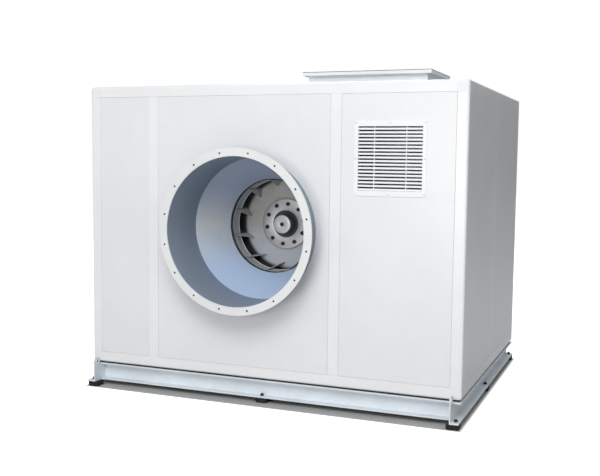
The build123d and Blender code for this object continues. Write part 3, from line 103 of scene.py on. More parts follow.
class Graph:
    """A node tree, with short ways to add nodes and join them."""

    def __init__(self, tree: bpy.types.NodeTree, prefix: str = "") -> None:
        """Take a tree.

        Args:
            tree: The tree.
            prefix: The start that its nodes' type names share.
        """
        self.tree = tree
        self.prefix = prefix

    def add(self, kind: str, settings: dict | None = None, **inputs) -> bpy.types.Node:
        """Add one node.

        Args:
            kind: The node's type name, after the prefix.
            settings: The node's own settings.
            inputs: Values or sockets for its inputs, with _ for a space.

        Returns:
            The new node.
        """
        node = self.tree.nodes.new(self.prefix + kind)
        for key, value in (settings or {}).items():
            setattr(node, key, value)
        for key, value in inputs.items():
            self.feed(node.inputs[key.replace("_", " ")], value)
        return node

    def feed(self, socket: Socket, value) -> None:
        """Join a socket to another, or set its value."""
        if isinstance(value, Socket):
            self.tree.links.new(value, socket)
        else:
            socket.default_value = value

    def fill(self, node: bpy.types.Node, first: int, *values) -> Socket:
        """Feed a node's inputs in order from one of them on, and return its first output."""
        for offset, value in enumerate(values):
            self.feed(node.inputs[first + offset], value)
        return node.outputs[0]


class Board(Graph):
    """A material's node tree, with the arithmetic that the finishes use."""

    def __init__(self, name: str) -> None:
        """Start an empty material with its output.

        Args:
            name: The material's name.
        """
        self.material = bpy.data.materials.new(name)
        self.material.use_nodes = True
        super().__init__(self.material.node_tree, "ShaderNode")
        self.tree.nodes.clear()
        self.output = self.add("OutputMaterial")

    def maths(self, operation: str, first, second=0.0, clamp: bool = False) -> Socket:
        """One step of arithmetic.

        Args:
            operation: The Math node's operation.
            first: First value or socket.
            second: Second value or socket.
            clamp: Whether the result is kept from 0 to 1.

        Returns:
            The result's socket.
        """
        return self.fill(self.add("Math", {"operation": operation, "use_clamp": clamp}), 0, first, second)

    def blend(self, share, first, second) -> Socket:
        """Mix two colours by a share from 0 to 1, and return the result's socket."""
        node = self.add("Mix", {"data_type": "RGBA"})
        self.feed(node.inputs[0], share)
        self.feed(node.inputs[6], first)
        self.feed(node.inputs[7], second)
        return node.outputs[2]

    def clear_of(self, place, box: "Span", reach: float) -> Socket:
        """How far a point is outside a box's plan, from 0 at its edge to 1.

        Args:
            place: The coordinates' socket.
            box: The box.
            reach: The distance over which it rises.

        Returns:
            The result's socket.
        """
        parts = self.add("SeparateXYZ", Vector=place).outputs
        outside = []
        for axis in range(2):
            from_centre = self.maths("ABSOLUTE", self.maths("SUBTRACT", parts[axis], box.centre[axis]))
            outside.append(self.maths("SUBTRACT", from_centre, box.high[axis] - box.centre[axis]))
        return self.ramp(self.maths("MAXIMUM", *outside), 0.0, reach)

    def from_axis(self, place) -> Socket:
        """The distance from the wheel's axis."""
        axis = Span.of("hub_ring").centre
        moved = self.add("Mapping", Vector=place, Location=(-axis.x, 0.0, -axis.z), Scale=(1, 0, 1))
        radius = self.add("VectorMath", {"operation": "LENGTH"}, Vector=moved.outputs[0])
        return radius.outputs["Value"]

    def ramp(self, value, low: float, high: float) -> Socket:
        """A value between two limits brought to 0 to 1, smoothly."""
        smoothed = {"interpolation_type": "SMOOTHSTEP"}
        return self.add("MapRange", smoothed, Value=value, From_Min=low, From_Max=high).outputs[0]


@dataclass(frozen=True)
class Fade:
    """A change of a finish's colour along one direction, or outwards from the wheel's axis, used here for
    painted shade, shadow and reflection.
    """

    direction: str
    start: float
    end: float
    colour: Colour

    def applied(self, board: "Board", place, colour) -> Socket:
        """Blend the fade's colour over another.

        Args:
            board: The material being made.
            place: The object coordinates' socket.
            colour: The colour so far.

        Returns:
            The new colour's socket.
        """
        if self.direction == "R":
            where = board.from_axis(place)
        else:
            where = board.add("SeparateXYZ", Vector=place).outputs[self.direction]
        share = board.add("MapRange", Value=where, From_Min=self.start, From_Max=self.end).outputs[0]
        return board.blend(share, colour, linear(self.colour))


@dataclass(frozen=True)
class Finish:
    """One finish of the fan: its colour, its close-up pattern, its gloss and its edge colour, which is rubbed
    paint in most finishes and a painted highlight in a few.
    """

    name: str
    colour: Colour
    pattern: Pattern = Pattern.PEEL
    roughness: float = 0.42
    gloss_range: float = 0.14
    metal: float = 0.0
    spread: float = 0.03
    patch: float = 2.5
    relief: float = 0.06
    grain: float = 700.0
    # Edge colour and its share: rubbed paint in most finishes, a painted highlight where it is lighter than
    # the paint.
    worn_and_highlight: Colour = (150, 153, 156)
    wear_and_highlight: float = 0.5
    edge: float = 1.5 * MM
    soil: Colour = (120, 116, 108)
    dirt: float = 0.05
    fades: tuple[Fade, ...] = ()

    def material(self) -> bpy.types.Material:
        """The finish as a material, made once."""
        known = bpy.data.materials.get(self.name)
        return known or self.build()

    def build(self) -> bpy.types.Material:
        """Make the finish's node tree.

        Returns:
            The new material.
        """
        board = Board(self.name)
        place = board.add("TexCoord").outputs["Object"]
        broad = board.add("TexNoise", Vector=place, Scale=self.patch, Detail=5.0, Roughness=0.6).outputs[0]
        height, tint = self.surface(board, place)
        share = board.ramp(broad, 0.3, 0.7)
        dark = linear(tuple(value * (1 - self.spread) for value in self.colour))
        light = linear(tuple(min(value * (1 + self.spread), 255) for value in self.colour))
        colour = board.blend(share, dark, light)
        if tint is not None:
            colour = board.blend(board.maths("MULTIPLY", tint, self.spread * TINT_GAIN, True), colour, dark)
        for fade in self.fades:
            colour = fade.applied(board, place, colour)
        colour = self.soiled(board, place, colour)
        colour = board.blend(self.edges(board, place), colour, linear(self.worn_and_highlight))
        gloss = board.maths("MULTIPLY_ADD", broad, self.gloss_range)
        gloss.node.inputs[2].default_value = self.roughness - self.gloss_range / 2
        bump = board.add("Bump", Strength=self.relief, Distance=RELIEF_DEPTH, Height=height)
        shader = board.add(
            "BsdfPrincipled", Metallic=self.metal, Base_Color=colour, Roughness=gloss, Normal=bump.outputs[0]
        )
        board.feed(board.output.inputs[0], shader.outputs[0])
        return board.material

    def surface(self, board: Board, place) -> tuple:
        """The close-up pattern.

        Args:
            board: The material being made.
            place: The object coordinates' socket.

        Returns:
            The height's socket, and a socket that tints the colour, or None.
        """
        if self.pattern in (Pattern.SPANGLE, Pattern.CELLS):
            cells = board.add("TexVoronoi", Vector=place, Scale=self.grain).outputs
            if self.pattern is Pattern.CELLS:
                return cells["Distance"], cells["Distance"]
            shade = board.add("SeparateColor", Color=cells["Color"]).outputs[0]
            return shade, shade
        if self.pattern in (Pattern.TURNED, Pattern.WEAVE):
            lines = self.rings if self.pattern is Pattern.TURNED else self.weave
            return (lines(board, place),) * 2
        if self.pattern is Pattern.ROLLED:
            place = board.add("Mapping", Vector=place, Scale=(1.0, 0.04, 1.0)).outputs[0]
        fine = board.add("TexNoise", Vector=place, Scale=self.grain, Detail=3.0).outputs[0]
        if self.pattern in (Pattern.CAST, Pattern.ROLLED):
            return fine, fine
        return fine, None

    def rings(self, board: Board, place) -> Socket:
        """Rings about the wheel's axis."""
        radius = board.from_axis(place)
        return board.add("TexNoise", {"noise_dimensions": "1D"}, W=radius, Scale=self.grain).outputs[0]

    def weave(self, board: Board, place) -> Socket:
        """Warp and weft threads."""
        threads = []
        for turn in (0.0, math.pi / 2):
            turned = board.add("Mapping", Vector=place, Rotation=(turn, turn / 2, 0.0)).outputs[0]
            wave = board.add("TexWave", {"bands_direction": "DIAGONAL"}, Vector=turned, Scale=self.grain)
            threads.append(wave.outputs["Fac"])
        return board.maths("MAXIMUM", *threads)

    def soiled(self, board: Board, place, colour) -> Socket:
        """The colour with thin uneven dirt on it."""
        spots = board.add("TexNoise", Vector=place, Scale=11.0, Detail=8.0, Roughness=0.7).outputs[0]
        share = board.maths("MULTIPLY", board.ramp(spots, 0.5, 0.8), self.dirt)
        return board.blend(share, colour, linear(self.soil))

    def edges(self, board: Board, place) -> Socket:
        """How strongly the edge colour shows, from 0 to 1, uneven along the edges: rubbed paint in most
        finishes, a painted highlight where the edge colour is lighter than the paint.
        """
        soft = board.add("Bevel", {"samples": 3}, Radius=self.edge).outputs[0]
        flat = board.add("NewGeometry").outputs["Normal"]
        dot = board.add("VectorMath", {"operation": "DOT_PRODUCT"})
        board.fill(dot, 0, soft, flat)
        bent = board.maths("SUBTRACT", 1.0, dot.outputs["Value"], True)
        uneven = board.add("TexNoise", Vector=place, Scale=38.0, Detail=4.0).outputs[0]
        amount = board.maths("MULTIPLY", board.ramp(bent, 0.02, 0.25), board.ramp(uneven, 0.35, 0.65))
        return board.maths("MULTIPLY", amount, self.wear_and_highlight)


CABINET_WHITE = Finish(
    "cabinet_white", (230, 232, 234), roughness=0.3, spread=0.008, worn_and_highlight=(180, 183, 186), wear_and_highlight=0.4,
    edge=2.0 * MM, gloss_range=0.015, dirt=0.02,
)
# Its edge colour is lighter than the paint, so the frame's edges show as pale lines: painted highlight.
FRAME_WHITE = Finish(
    "frame_white", (235, 237, 239), roughness=0.28, spread=0.008, worn_and_highlight=(252, 252, 250), wear_and_highlight=0.35,
    edge=2.0 * MM, gloss_range=0.015, dirt=0.02,
)
CORNER_WHITE = Finish(
    "corner_white", (233, 235, 237), Pattern.MOULDED, roughness=0.45, spread=0.008, grain=1400.0, wear_and_highlight=0.2,
    dirt=0.02,
)
FLANGE_WHITE = Finish("flange_white", (226, 228, 228), roughness=0.38, spread=0.015, wear_and_highlight=0.5, dirt=0.05)
# The spigot tube carries the flange's paint, darkened to blue-grey for the shade inside the spigot: painted
# shade.
SPIGOT_PAINTED_SHADE = Finish("spigot_grey", (140, 152, 167), roughness=0.42, spread=0.02, wear_and_highlight=0.4, dirt=0.06)
CONE_GREY = Finish("cone_grey", (211, 213, 215), roughness=0.4, spread=0.02, wear_and_highlight=0.4, dirt=0.06)
WHEEL_GREY = Finish(
    "wheel_grey", (198, 195, 190), roughness=0.46, spread=0.05, patch=9.0, wear_and_highlight=0.8, worn_and_highlight=(224, 224, 222),
    dirt=0.16,
)
HUB_STEEL = Finish(
    "hub_steel", (226, 226, 225), Pattern.TURNED, roughness=0.42, metal=0.05, spread=0.05, grain=900.0,
    relief=0.15, worn_and_highlight=(225, 226, 228),
)
SHAFT_STEEL = Finish(
    "shaft_steel", (222, 223, 225), Pattern.TURNED, roughness=0.32, metal=0.3, spread=0.04, grain=1200.0,
    relief=0.12, worn_and_highlight=(230, 230, 232),
)
BOLT_STEEL = Finish(
    "bolt_steel", (122, 124, 126), Pattern.ROLLED, roughness=0.38, metal=0.8, spread=0.08, grain=900.0,
    worn_and_highlight=(190, 190, 190),
)
DARK_BOLT = Finish(
    "dark_bolt", (44, 45, 48), Pattern.ROLLED, roughness=0.45, metal=0.5, spread=0.1, grain=900.0,
    worn_and_highlight=(120, 120, 120),
)
GALVANISED = Finish(
    "galvanised", (186, 190, 193), Pattern.SPANGLE, roughness=0.36, metal=0.75, spread=0.06, grain=85.0,
    relief=0.03, worn_and_highlight=(205, 208, 210),
)
OUTLET_GREY = Finish("outlet_grey", (226, 230, 233), roughness=0.4, spread=0.02, wear_and_highlight=0.5, dirt=0.05)
CAST_IRON = Finish(
    "cast_iron", (92, 96, 100), Pattern.CAST, roughness=0.6, metal=0.2, spread=0.1, grain=420.0, relief=0.5,
    worn_and_highlight=(150, 150, 150), dirt=0.2,
)
STAND_GREY = Finish(
    "stand_grey", (136, 142, 148), roughness=0.45, spread=0.04, worn_and_highlight=(175, 178, 180), dirt=0.12,
)
MOTOR_BLUE = Finish(
    "motor_blue", (70, 92, 118), Pattern.CAST, roughness=0.45, spread=0.06, grain=500.0, relief=0.25,
    worn_and_highlight=(140, 146, 152), dirt=0.14,
)
BOX_GREY = Finish("box_grey", (98, 104, 110), Pattern.MOULDED, roughness=0.5, grain=1500.0, wear_and_highlight=0.3)
BELT_BLACK = Finish(
    "belt_black", (30, 30, 32), Pattern.MOULDED, roughness=0.75, spread=0.15, grain=900.0, worn_and_highlight=(70, 70, 72),
    dirt=0.15,
)
LOUVRE_WHITE = Finish("louvre_white", (238, 240, 242), roughness=0.38, spread=0.01, wear_and_highlight=0.25, dirt=0.03)
# Its near-white edge colour at a high share draws bright lines along the channels' edges: painted highlight.
BASE_GREY = Finish(
    "base_grey", (222, 229, 235), roughness=0.42, spread=0.025, patch=4.0, worn_and_highlight=(246, 248, 250), wear_and_highlight=0.9,
    dirt=0.1,
)
PAD_RUBBER = Finish(
    "pad_rubber", (24, 24, 26), Pattern.MOULDED, roughness=0.8, spread=0.2, grain=700.0, relief=0.3,
    worn_and_highlight=(64, 64, 66), dirt=0.2,
)
SEAL_FOAM = Finish(
    "seal_foam", (52, 55, 60), Pattern.CELLS, roughness=0.85, spread=0.12, grain=600.0, relief=0.4,
    worn_and_highlight=(100, 102, 104),
)
CANVAS_GREY = Finish(
    "canvas_grey", (88, 90, 92), Pattern.WEAVE, roughness=0.75, spread=0.06, grain=320.0, relief=0.5,
    wear_and_highlight=0.2,
)
HINGE_BLACK = Finish(
    "hinge_black", (38, 39, 41), Pattern.MOULDED, roughness=0.5, spread=0.1, grain=1300.0, relief=0.2,
    worn_and_highlight=(92, 92, 94),
)


# ---------------------------------------------------------------- places and meshes


@dataclass(frozen=True)
class Span:
    """The box that a CAD node fills, in metres in the row frame."""

    low: Vector
    high: Vector

    @classmethod
    def of(cls, node: str) -> "Span":
        """The box of one node."""
        return cls(*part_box(node))

    @property
    def centre(self) -> Vector:
        """The box's middle."""
        return (self.low + self.high) / 2

    @property
    def radius(self) -> float:
        """Half the box's width, for a node that is round about an axis along Y."""
        return (self.high.x - self.low.x) / 2


def new_object(name: str, data: bpy.types.ID) -> bpy.types.Object:
    """Put a mesh, a lamp or a camera in the scene as an object at the origin."""
    piece = bpy.data.objects.new(name, data)
    bpy.context.scene.collection.objects.link(piece)
    return piece


def mesh_of(name: str, build: bmesh.types.BMesh, outward: bool = True) -> Mesh:
    """Turn an edited mesh into a plain one.

    Args:
        name: The mesh's name.
        build: The edited mesh, which is freed.
        outward: Whether its faces are turned outwards.

    Returns:
        The plain mesh.
    """
    if outward:
        bmesh.ops.recalc_face_normals(build, faces=build.faces)
    mesh = bpy.data.meshes.new(name)
    build.to_mesh(mesh)
    build.free()
    return mesh


def smooth(mesh: Mesh, sharp: float = 38.0) -> Mesh:
    """Shade a mesh smooth, apart from edges sharper than an angle in degrees."""
    mesh.polygons.foreach_set("use_smooth", [True] * len(mesh.polygons))
    mesh.set_sharp_from_angle(angle=math.radians(sharp))
    return mesh


def circle(radius: float, count: int, first: float = 0.0) -> Outline:
    """Points evenly spaced on a circle, the first at an angle in degrees."""
    start = math.radians(first)
    angles = [start + 2 * math.pi * i / count for i in range(count)]
    return [(radius * math.cos(a), radius * math.sin(a)) for a in angles]


def oblong(a0: float, b0: float, a1: float, b1: float) -> Outline:
    """The rectangle between two opposite corners."""
    return [(a0, b0), (a1, b0), (a1, b1), (a0, b1)]


def eased(outline: Outline, radius: float, steps: int = 3) -> Outline:
    """Round the corners of a closed outline.

    Args:
        outline: Points in order.
        radius: Fillet radius, limited by the sides' lengths.
        steps: Points on each fillet, less one.

    Returns:
        The rounded outline.
    """
    result = []
    count = len(outline)
    for i, (x, y) in enumerate(outline):
        here = Vector((x, y))
        back = Vector(outline[i - 1]) - here
        ahead = Vector(outline[(i + 1) % count]) - here
        turn = back.angle(ahead, math.pi)
        if turn > STRAIGHT:
            result.append((x, y))
            continue
        reach = min(radius / math.tan(turn / 2), SIDE_SHARE * back.length, SIDE_SHARE * ahead.length)
        start = here + back.normalized() * reach
        end = here + ahead.normalized() * reach
        for step in range(steps + 1):
            share = step / steps
            point = start.lerp(here, share).lerp(here.lerp(end, share), share)
            result.append((point.x, point.y))
    return result


def skinned(rings: list[list[tuple]], closed: bool = False, capped: bool = True) -> bmesh.types.BMesh:
    """A skin over rings of points that all have the same number of points.

    Args:
        rings: The rings, in order.
        closed: Whether the last ring joins the first.
        capped: Whether a face closes each end.

    Returns:
        The edited mesh.
    """
    build = bmesh.new()
    loops = [[build.verts.new(point) for point in ring] for ring in rings]
    for low, high in zip(loops, loops[1:] + (loops[:1] if closed else [])):
        for i, vert in enumerate(low):
            k = (i + 1) % len(low)
            build.faces.new((vert, low[k], high[k], high[i]))
    if capped:
        build.faces.new(loops[0])
        build.faces.new(loops[-1])
    return build


def lathe(name: str, profile: Outline, axis: Vector, segments: int = ROUND) -> Mesh:
    """Turn a closed profile about an axis along Y.

    Args:
        name: The mesh's name.
        profile: Points as (radius, y), in metres.
        axis: A point on the axis.
        segments: Steps round the axis.

    Returns:
        The closed mesh.
    """
    rings = [[(axis.x + r * x, y, axis.z + r * z) for r, y in profile] for x, z in circle(1.0, segments)]
    build = skinned(rings, closed=True, capped=False)
    bmesh.ops.remove_doubles(build, verts=build.verts, dist=1e-6)
    bmesh.ops.dissolve_degenerate(build, edges=build.edges, dist=1e-7)
    return smooth(mesh_of(name, build))


def prism(name: str, outline: Outline, start: float, end: float) -> Mesh:
    """A straight bar along X of a closed section.

    Args:
        name: The mesh's name.
        outline: The section, as (y, z).
        start: Where it starts along X.
        end: Where it ends.

    Returns:
        The closed mesh.
    """
    return smooth(mesh_of(name, skinned([[(x, y, z) for y, z in outline] for x in (start, end)])))


def joined(name: str, meshes: list[Mesh]) -> Mesh:
    """Several meshes as one, and the separate ones removed."""
    build = bmesh.new()
    for mesh in meshes:
        build.from_mesh(mesh)
        bpy.data.meshes.remove(mesh)
    return smooth(mesh_of(name, build, outward=False))


def shells(build: bmesh.types.BMesh) -> list[list[bmesh.types.BMFace]]:
    """The mesh's separate shells, as lists of faces."""
    left = set(build.faces)
    result = []
    while left:
        stack = [left.pop()]
        shell = []
        while stack:
            face = stack.pop()
            shell.append(face)
            for edge in face.edges:
                for other in edge.link_faces:
                    if other in left:
                        left.discard(other)
                        stack.append(other)
        result.append(shell)
    return result


def signed_volume(shell: list[bmesh.types.BMFace]) -> float:
    """The volume inside a shell, negative where its faces point inwards."""
    total = 0.0
    for face in shell:
        first = face.verts[0].co
        for a, b in zip(face.verts[1:], face.verts[2:]):
            total += first.dot(a.co.cross(b.co)) / 6
    return total


def merged_copy(node: str) -> bmesh.types.BMesh:
    """A CAD node's outer shells, with their loose triangles joined up."""
    build = bmesh.new()
    build.from_mesh(frame["nodes"][node].data)
    bmesh.ops.remove_doubles(build, verts=build.verts, dist=MERGE)
    build.normal_update()
    hidden = [face for shell in shells(build) if signed_volume(shell) < 0 for face in shell]
    bmesh.ops.delete(build, geom=hidden, context="FACES")
    return build


def shell_boxes(node: str) -> list[Span]:
    """The box of each separate solid of a CAD node."""
    build = merged_copy(node)
    result = []
    for shell in shells(build):
        points = [vert.co.copy() for face in shell for vert in face.verts]
        low = Vector([min(p[i] for p in points) for i in range(3)])
        high = Vector([max(p[i] for p in points) for i in range(3)])
        result.append(Span(low, high))
    build.free()
    return sorted(result, key=lambda span: tuple(round(v, 5) for v in span.centre))


def applied(piece: bpy.types.Object) -> Mesh:
    """The object's mesh with its modifiers made real; the object itself is removed."""
    bpy.context.view_layer.update()
    depsgraph = bpy.context.evaluated_depsgraph_get()
    mesh = bpy.data.meshes.new_from_object(piece.evaluated_get(depsgraph), depsgraph=depsgraph)
    mesh.name = piece.name
    bpy.data.objects.remove(piece)
    return mesh


def bevelled(mesh: Mesh, width: float, segments: int = 2, limit: float = 50.0) -> Mesh:
    """Round a mesh's sharp edges.

    Args:
        mesh: The closed mesh.
        width: Width of the rounding, in metres.
        segments: Steps across it.
        limit: Edges bent more than this many degrees are rounded.

    Returns:
        The rounded mesh.
    """
    piece = new_object(mesh.name, mesh)
    bevel = piece.modifiers.new("rounding", "BEVEL")
    bevel.width = width
    bevel.segments = segments
    bevel.limit_method = "ANGLE"
    bevel.angle_limit = math.radians(limit)
    bevel.use_clamp_overlap = True
    weigh = piece.modifiers.new("flat_faces", "WEIGHTED_NORMAL")
    weigh.keep_sharp = True
    return applied(piece)


def put(mesh: Mesh, finish: Finish, body: str, slot: str, *nodes: str) -> bpy.types.Object:
    """Make a finished mesh a piece of the fan.

    Args:
        mesh: The mesh, in place.
        finish: Its finish.
        body: The body that it moves with.
        slot: The record's material slot; not used.
        nodes: The CAD nodes that it stands for.

    Returns:
        The piece.
    """
    piece = new_object(mesh.name.split(".")[0], mesh)
    if not mesh.materials:
        mesh.materials.append(finish.material())
    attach(piece, body)
    if nodes:
        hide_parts(*nodes)
    log.info("%s: %d faces, rides on %s", piece.name, len(mesh.polygons), body)
    return piece


def node_slot(node: str) -> str:
    """The material slot that the record gives a CAD node."""
    return next(part["material_slot"] for part in frame["record"]["subparts"] if part["node"] == node)


def node_body(node: str) -> str:
    """The body that a CAD node belongs to."""
    bodies = (frame["record"].get("behaviour") or {}).get("bodies") or {}
    return next((body for body, nodes in bodies.items() if node in nodes), "root")


def soften(node: str, finish: Finish, width: float = 1.0 * MM, segments: int = 2) -> bpy.types.Object:
    """Stand a copy of a CAD node, with its edges rounded, in the node's place.

    Args:
        node: The node.
        finish: Its finish.
        width: Width of the rounding.
        segments: Steps across it.

    Returns:
        The piece.
    """
    build = merged_copy(node)
    bmesh.ops.dissolve_limit(
        build, angle_limit=math.radians(0.4), verts=build.verts, edges=build.edges, delimit={"NORMAL"}
    )
    mesh = smooth(mesh_of(f"{node}_shape", build, outward=False), 50.0)
    mesh = bevelled(mesh, width, segments)
    return put(mesh, finish, node_body(node), node_slot(node), node)


def dress(node: str, finish: Finish) -> None:
    """Give a CAD node that stays as it is its finish."""
    piece = frame["nodes"][node]
    piece.data.materials.clear()
    piece.data.materials.append(finish.material())
    log.info("%s: kept, in %s", node, finish.name)


# ---------------------------------------------------------------- geometry nodes


class Recipe(Graph):
    """A Geometry Nodes tree with named inputs, which ends in real, finished geometry."""

    def __init__(self, name: str) -> None:
        """Start a tree with its geometry and its finish as inputs.

        Args:
            name: The tree's name.
        """
        super().__init__(bpy.data.node_groups.new(name, "GeometryNodeTree"))
        self.tree.interface.new_socket("Geometry", in_out="OUTPUT", socket_type="NodeSocketGeometry")
        self.start = self.add("NodeGroupInput")
        self.geometry = self.ask("Geometry", "Geometry")
        self.finish = self.ask("Finish", "Material")

    def ask(self, name: str, kind: str) -> Socket:
        """Add a named input of a socket type, such as Float, and return its socket."""
        self.tree.interface.new_socket(name, in_out="INPUT", socket_type="NodeSocket" + kind)
        return self.start.outputs[name]

    def both(self, first: bpy.types.Node, second: bpy.types.Node) -> Socket:
        """Join the geometry of two nodes."""
        join = self.add("GeometryNodeJoinGeometry")
        self.feed(join.inputs[0], first.outputs[0])
        self.feed(join.inputs[0], second.outputs[0])
        return join.outputs[0]

    def close(self, geometry: Socket) -> bpy.types.NodeTree:
        """End the tree in Realize Instances and Set Material."""
        real = self.add("GeometryNodeRealizeInstances", Geometry=geometry)
        done = self.add("GeometryNodeSetMaterial", Geometry=real.outputs[0], Material=self.finish)
        self.feed(self.add("NodeGroupOutput").inputs[0], done.outputs[0])
        return self.tree


def row_recipe() -> bpy.types.NodeTree:
    """Copies of one shape, each turned and moved on from the last.

    Returns:
        A tree with the inputs Count, Turn (about Y, in radians), Centre and Step.
    """
    recipe = Recipe("row_of_copies")
    count, turn = recipe.ask("Count", "Int"), recipe.ask("Turn", "Float")
    centre, step = recipe.ask("Centre", "Vector"), recipe.ask("Step", "Vector")
    points = recipe.add("GeometryNodePoints", Count=count)
    copies = recipe.add("GeometryNodeInstanceOnPoints", Points=points.outputs[0], Instance=recipe.geometry)
    index = recipe.add("GeometryNodeInputIndex").outputs[0]
    angle = recipe.fill(recipe.add("ShaderNodeMath", {"operation": "MULTIPLY"}), 0, index, turn)
    shift = recipe.add("ShaderNodeVectorMath", {"operation": "SCALE"}, Vector=step, Scale=index)
    euler = recipe.add("ShaderNodeCombineXYZ", Y=angle)
    rotation = recipe.add("FunctionNodeEulerToRotation", Euler=euler.outputs[0])
    turned = recipe.add(
        "GeometryNodeRotateInstances", Instances=copies.outputs[0], Rotation=rotation.outputs[0],
        Pivot_Point=centre, Local_Space=False,
    )
    moved = recipe.add(
        "GeometryNodeTranslateInstances", Instances=turned.outputs[0], Local_Space=False,
        Translation=shift.outputs[0],
    )
    return recipe.close(moved.outputs[0])


def scatter_recipe() -> bpy.types.NodeTree:
    """One shape set at each vertex of the mesh.

    Returns:
        A tree with the input Shape, an object.
    """
    recipe = Recipe("copies_at_places")
    shape = recipe.add("GeometryNodeObjectInfo", Object=recipe.ask("Shape", "Object"))
    points = recipe.add("GeometryNodeMeshToPoints", Mesh=recipe.geometry)
    copies = recipe.add(
        "GeometryNodeInstanceOnPoints", Points=points.outputs[0], Instance=shape.outputs["Geometry"]
    )
    return recipe.close(copies.outputs[0])


def plate_recipe() -> bpy.types.NodeTree:
    """A drilled plate: flat edge loops, filled apart from round holes, and given thickness.

    Returns:
        A tree with the inputs Places (an object whose vertices are the holes' centres), Hole Radius,
        Thickness, Rotation and Centre.
    """
    recipe = Recipe("drilled_plate")
    places, hole = recipe.ask("Places", "Object"), recipe.ask("Hole Radius", "Float")
    thickness, rotation = recipe.ask("Thickness", "Float"), recipe.ask("Rotation", "Vector")
    centre = recipe.ask("Centre", "Vector")
    loops = recipe.add("GeometryNodeMeshToCurve", Mesh=recipe.geometry)
    marks = recipe.add("GeometryNodeObjectInfo", Object=places)
    points = recipe.add("GeometryNodeMeshToPoints", Mesh=marks.outputs["Geometry"])
    circle = recipe.add("GeometryNodeCurvePrimitiveCircle", Resolution=SMALL, Radius=hole)
    holes = recipe.add("GeometryNodeInstanceOnPoints", Points=points.outputs[0], Instance=circle.outputs[0])
    real = recipe.add("GeometryNodeRealizeInstances", Geometry=holes.outputs[0])
    face = recipe.add("GeometryNodeFillCurve", Curve=recipe.both(loops, real)).outputs[0]
    top = recipe.add("GeometryNodeExtrudeMesh", Mesh=face, Offset_Scale=thickness, Individual=False)
    back = recipe.add("GeometryNodeFlipFaces", Mesh=face)
    closed = recipe.add("GeometryNodeMergeByDistance", Geometry=recipe.both(top, back), Distance=MERGE)
    placed = recipe.add(
        "GeometryNodeTransform", Geometry=closed.outputs[0], Translation=centre, Rotation=rotation
    )
    return recipe.close(placed.outputs[0])


def cooked(mesh: Mesh, recipe: bpy.types.NodeTree, finish: Finish, **inputs) -> Mesh:
    """Run a mesh through a Geometry Nodes tree and bake the result.

    Args:
        mesh: The mesh that the tree starts from.
        recipe: The tree.
        finish: The finish that it sets.
        inputs: Values for its other inputs, with _ for a space.

    Returns:
        The baked mesh.
    """
    piece = new_object(mesh.name, mesh)
    modifier = piece.modifiers.new(recipe.name, "NODES")
    modifier.node_group = recipe
    sockets = {item.name: item.identifier for item in recipe.interface.items_tree if item.in_out == "INPUT"}
    modifier[sockets["Finish"]] = finish.material()
    for key, value in inputs.items():
        modifier[sockets[key.replace("_", " ")]] = value
    result = applied(piece)
    for value in inputs.values():
        if isinstance(value, bpy.types.Object):
            bpy.data.objects.remove(value)
    return smooth(result)


def marks(name: str, points: list[Vector]) -> Mesh:
    """A mesh of loose vertices that mark places."""
    mesh = bpy.data.meshes.new(name)
    mesh.from_pydata(points, [], [])
    return mesh


def scattered(name: str, shape: Mesh, points: list[Vector], finish: Finish) -> Mesh:
    """Copies of one shape at several places, as one mesh.

    Args:
        name: The mesh's name.
        shape: The shape, which stands on the origin.
        points: The places.
        finish: The finish that it gets.

    Returns:
        The baked mesh.
    """
    return cooked(marks(name, points), SCATTER, finish, Shape=new_object("shape", shape))


def round_axis(mesh: Mesh, finish: Finish, count: int, axis: Vector, way: int = 1) -> Mesh:
    """Copies of one shape, evenly round an axis along Y.

    Args:
        mesh: The first copy, in place.
        finish: The finish that it gets.
        count: How many copies there are.
        axis: A point on the axis.
        way: 1 or -1, for the way round that they follow each other.

    Returns:
        The baked mesh.
    """
    turn = way * 2 * math.pi / count
    return cooked(mesh, ROW, finish, Count=count, Turn=turn, Centre=tuple(axis), Step=(0, 0, 0))


def loops_mesh(name: str, loops: list[Outline]) -> Mesh:
    """Flat closed edge loops in X and Y."""
    points = []
    edges = []
    for loop in loops:
        first = len(points)
        points += [(x, y, 0.0) for x, y in loop]
        edges += [(first + i, first + (i + 1) % len(loop)) for i in range(len(loop))]
    mesh = bpy.data.meshes.new(name)
    mesh.from_pydata(points, edges, [])
    return mesh


def hex_bolt(across: float, head: float, shank: float, length: float) -> Mesh:
    """Hexagon bolt standing on the origin, its head up, with a chamfered top and a washer face.

    Args:
        across: Width across the flats.
        head: Height of the head.
        shank: Radius of the shank.
        length: How far the shank reaches down.

    Returns:
        The closed mesh.
    """
    corner = across / math.sqrt(3)
    washer = circle(0.96 * across / 2, 12)
    face = 0.16 * head
    layers = [(circle(shank, 12), -length), (circle(shank, 12), 0.0), (washer, 0.0), (washer, face)]
    for radius, z in ((corner, face), (corner, 0.86 * head), (0.86 * corner, head)):
        points = circle(radius, 6)
        mids = [((a[0] + b[0]) / 2, (a[1] + b[1]) / 2) for a, b in zip(points, points[1:] + points[:1])]
        layers.append(([point for pair in zip(points, mids) for point in pair], z))
    build = skinned([[(x, y, z) for x, y in points] for points, z in layers])
    return smooth(mesh_of("hex_bolt", build), 25.0)


# ---------------------------------------------------------------- the fan's assemblies


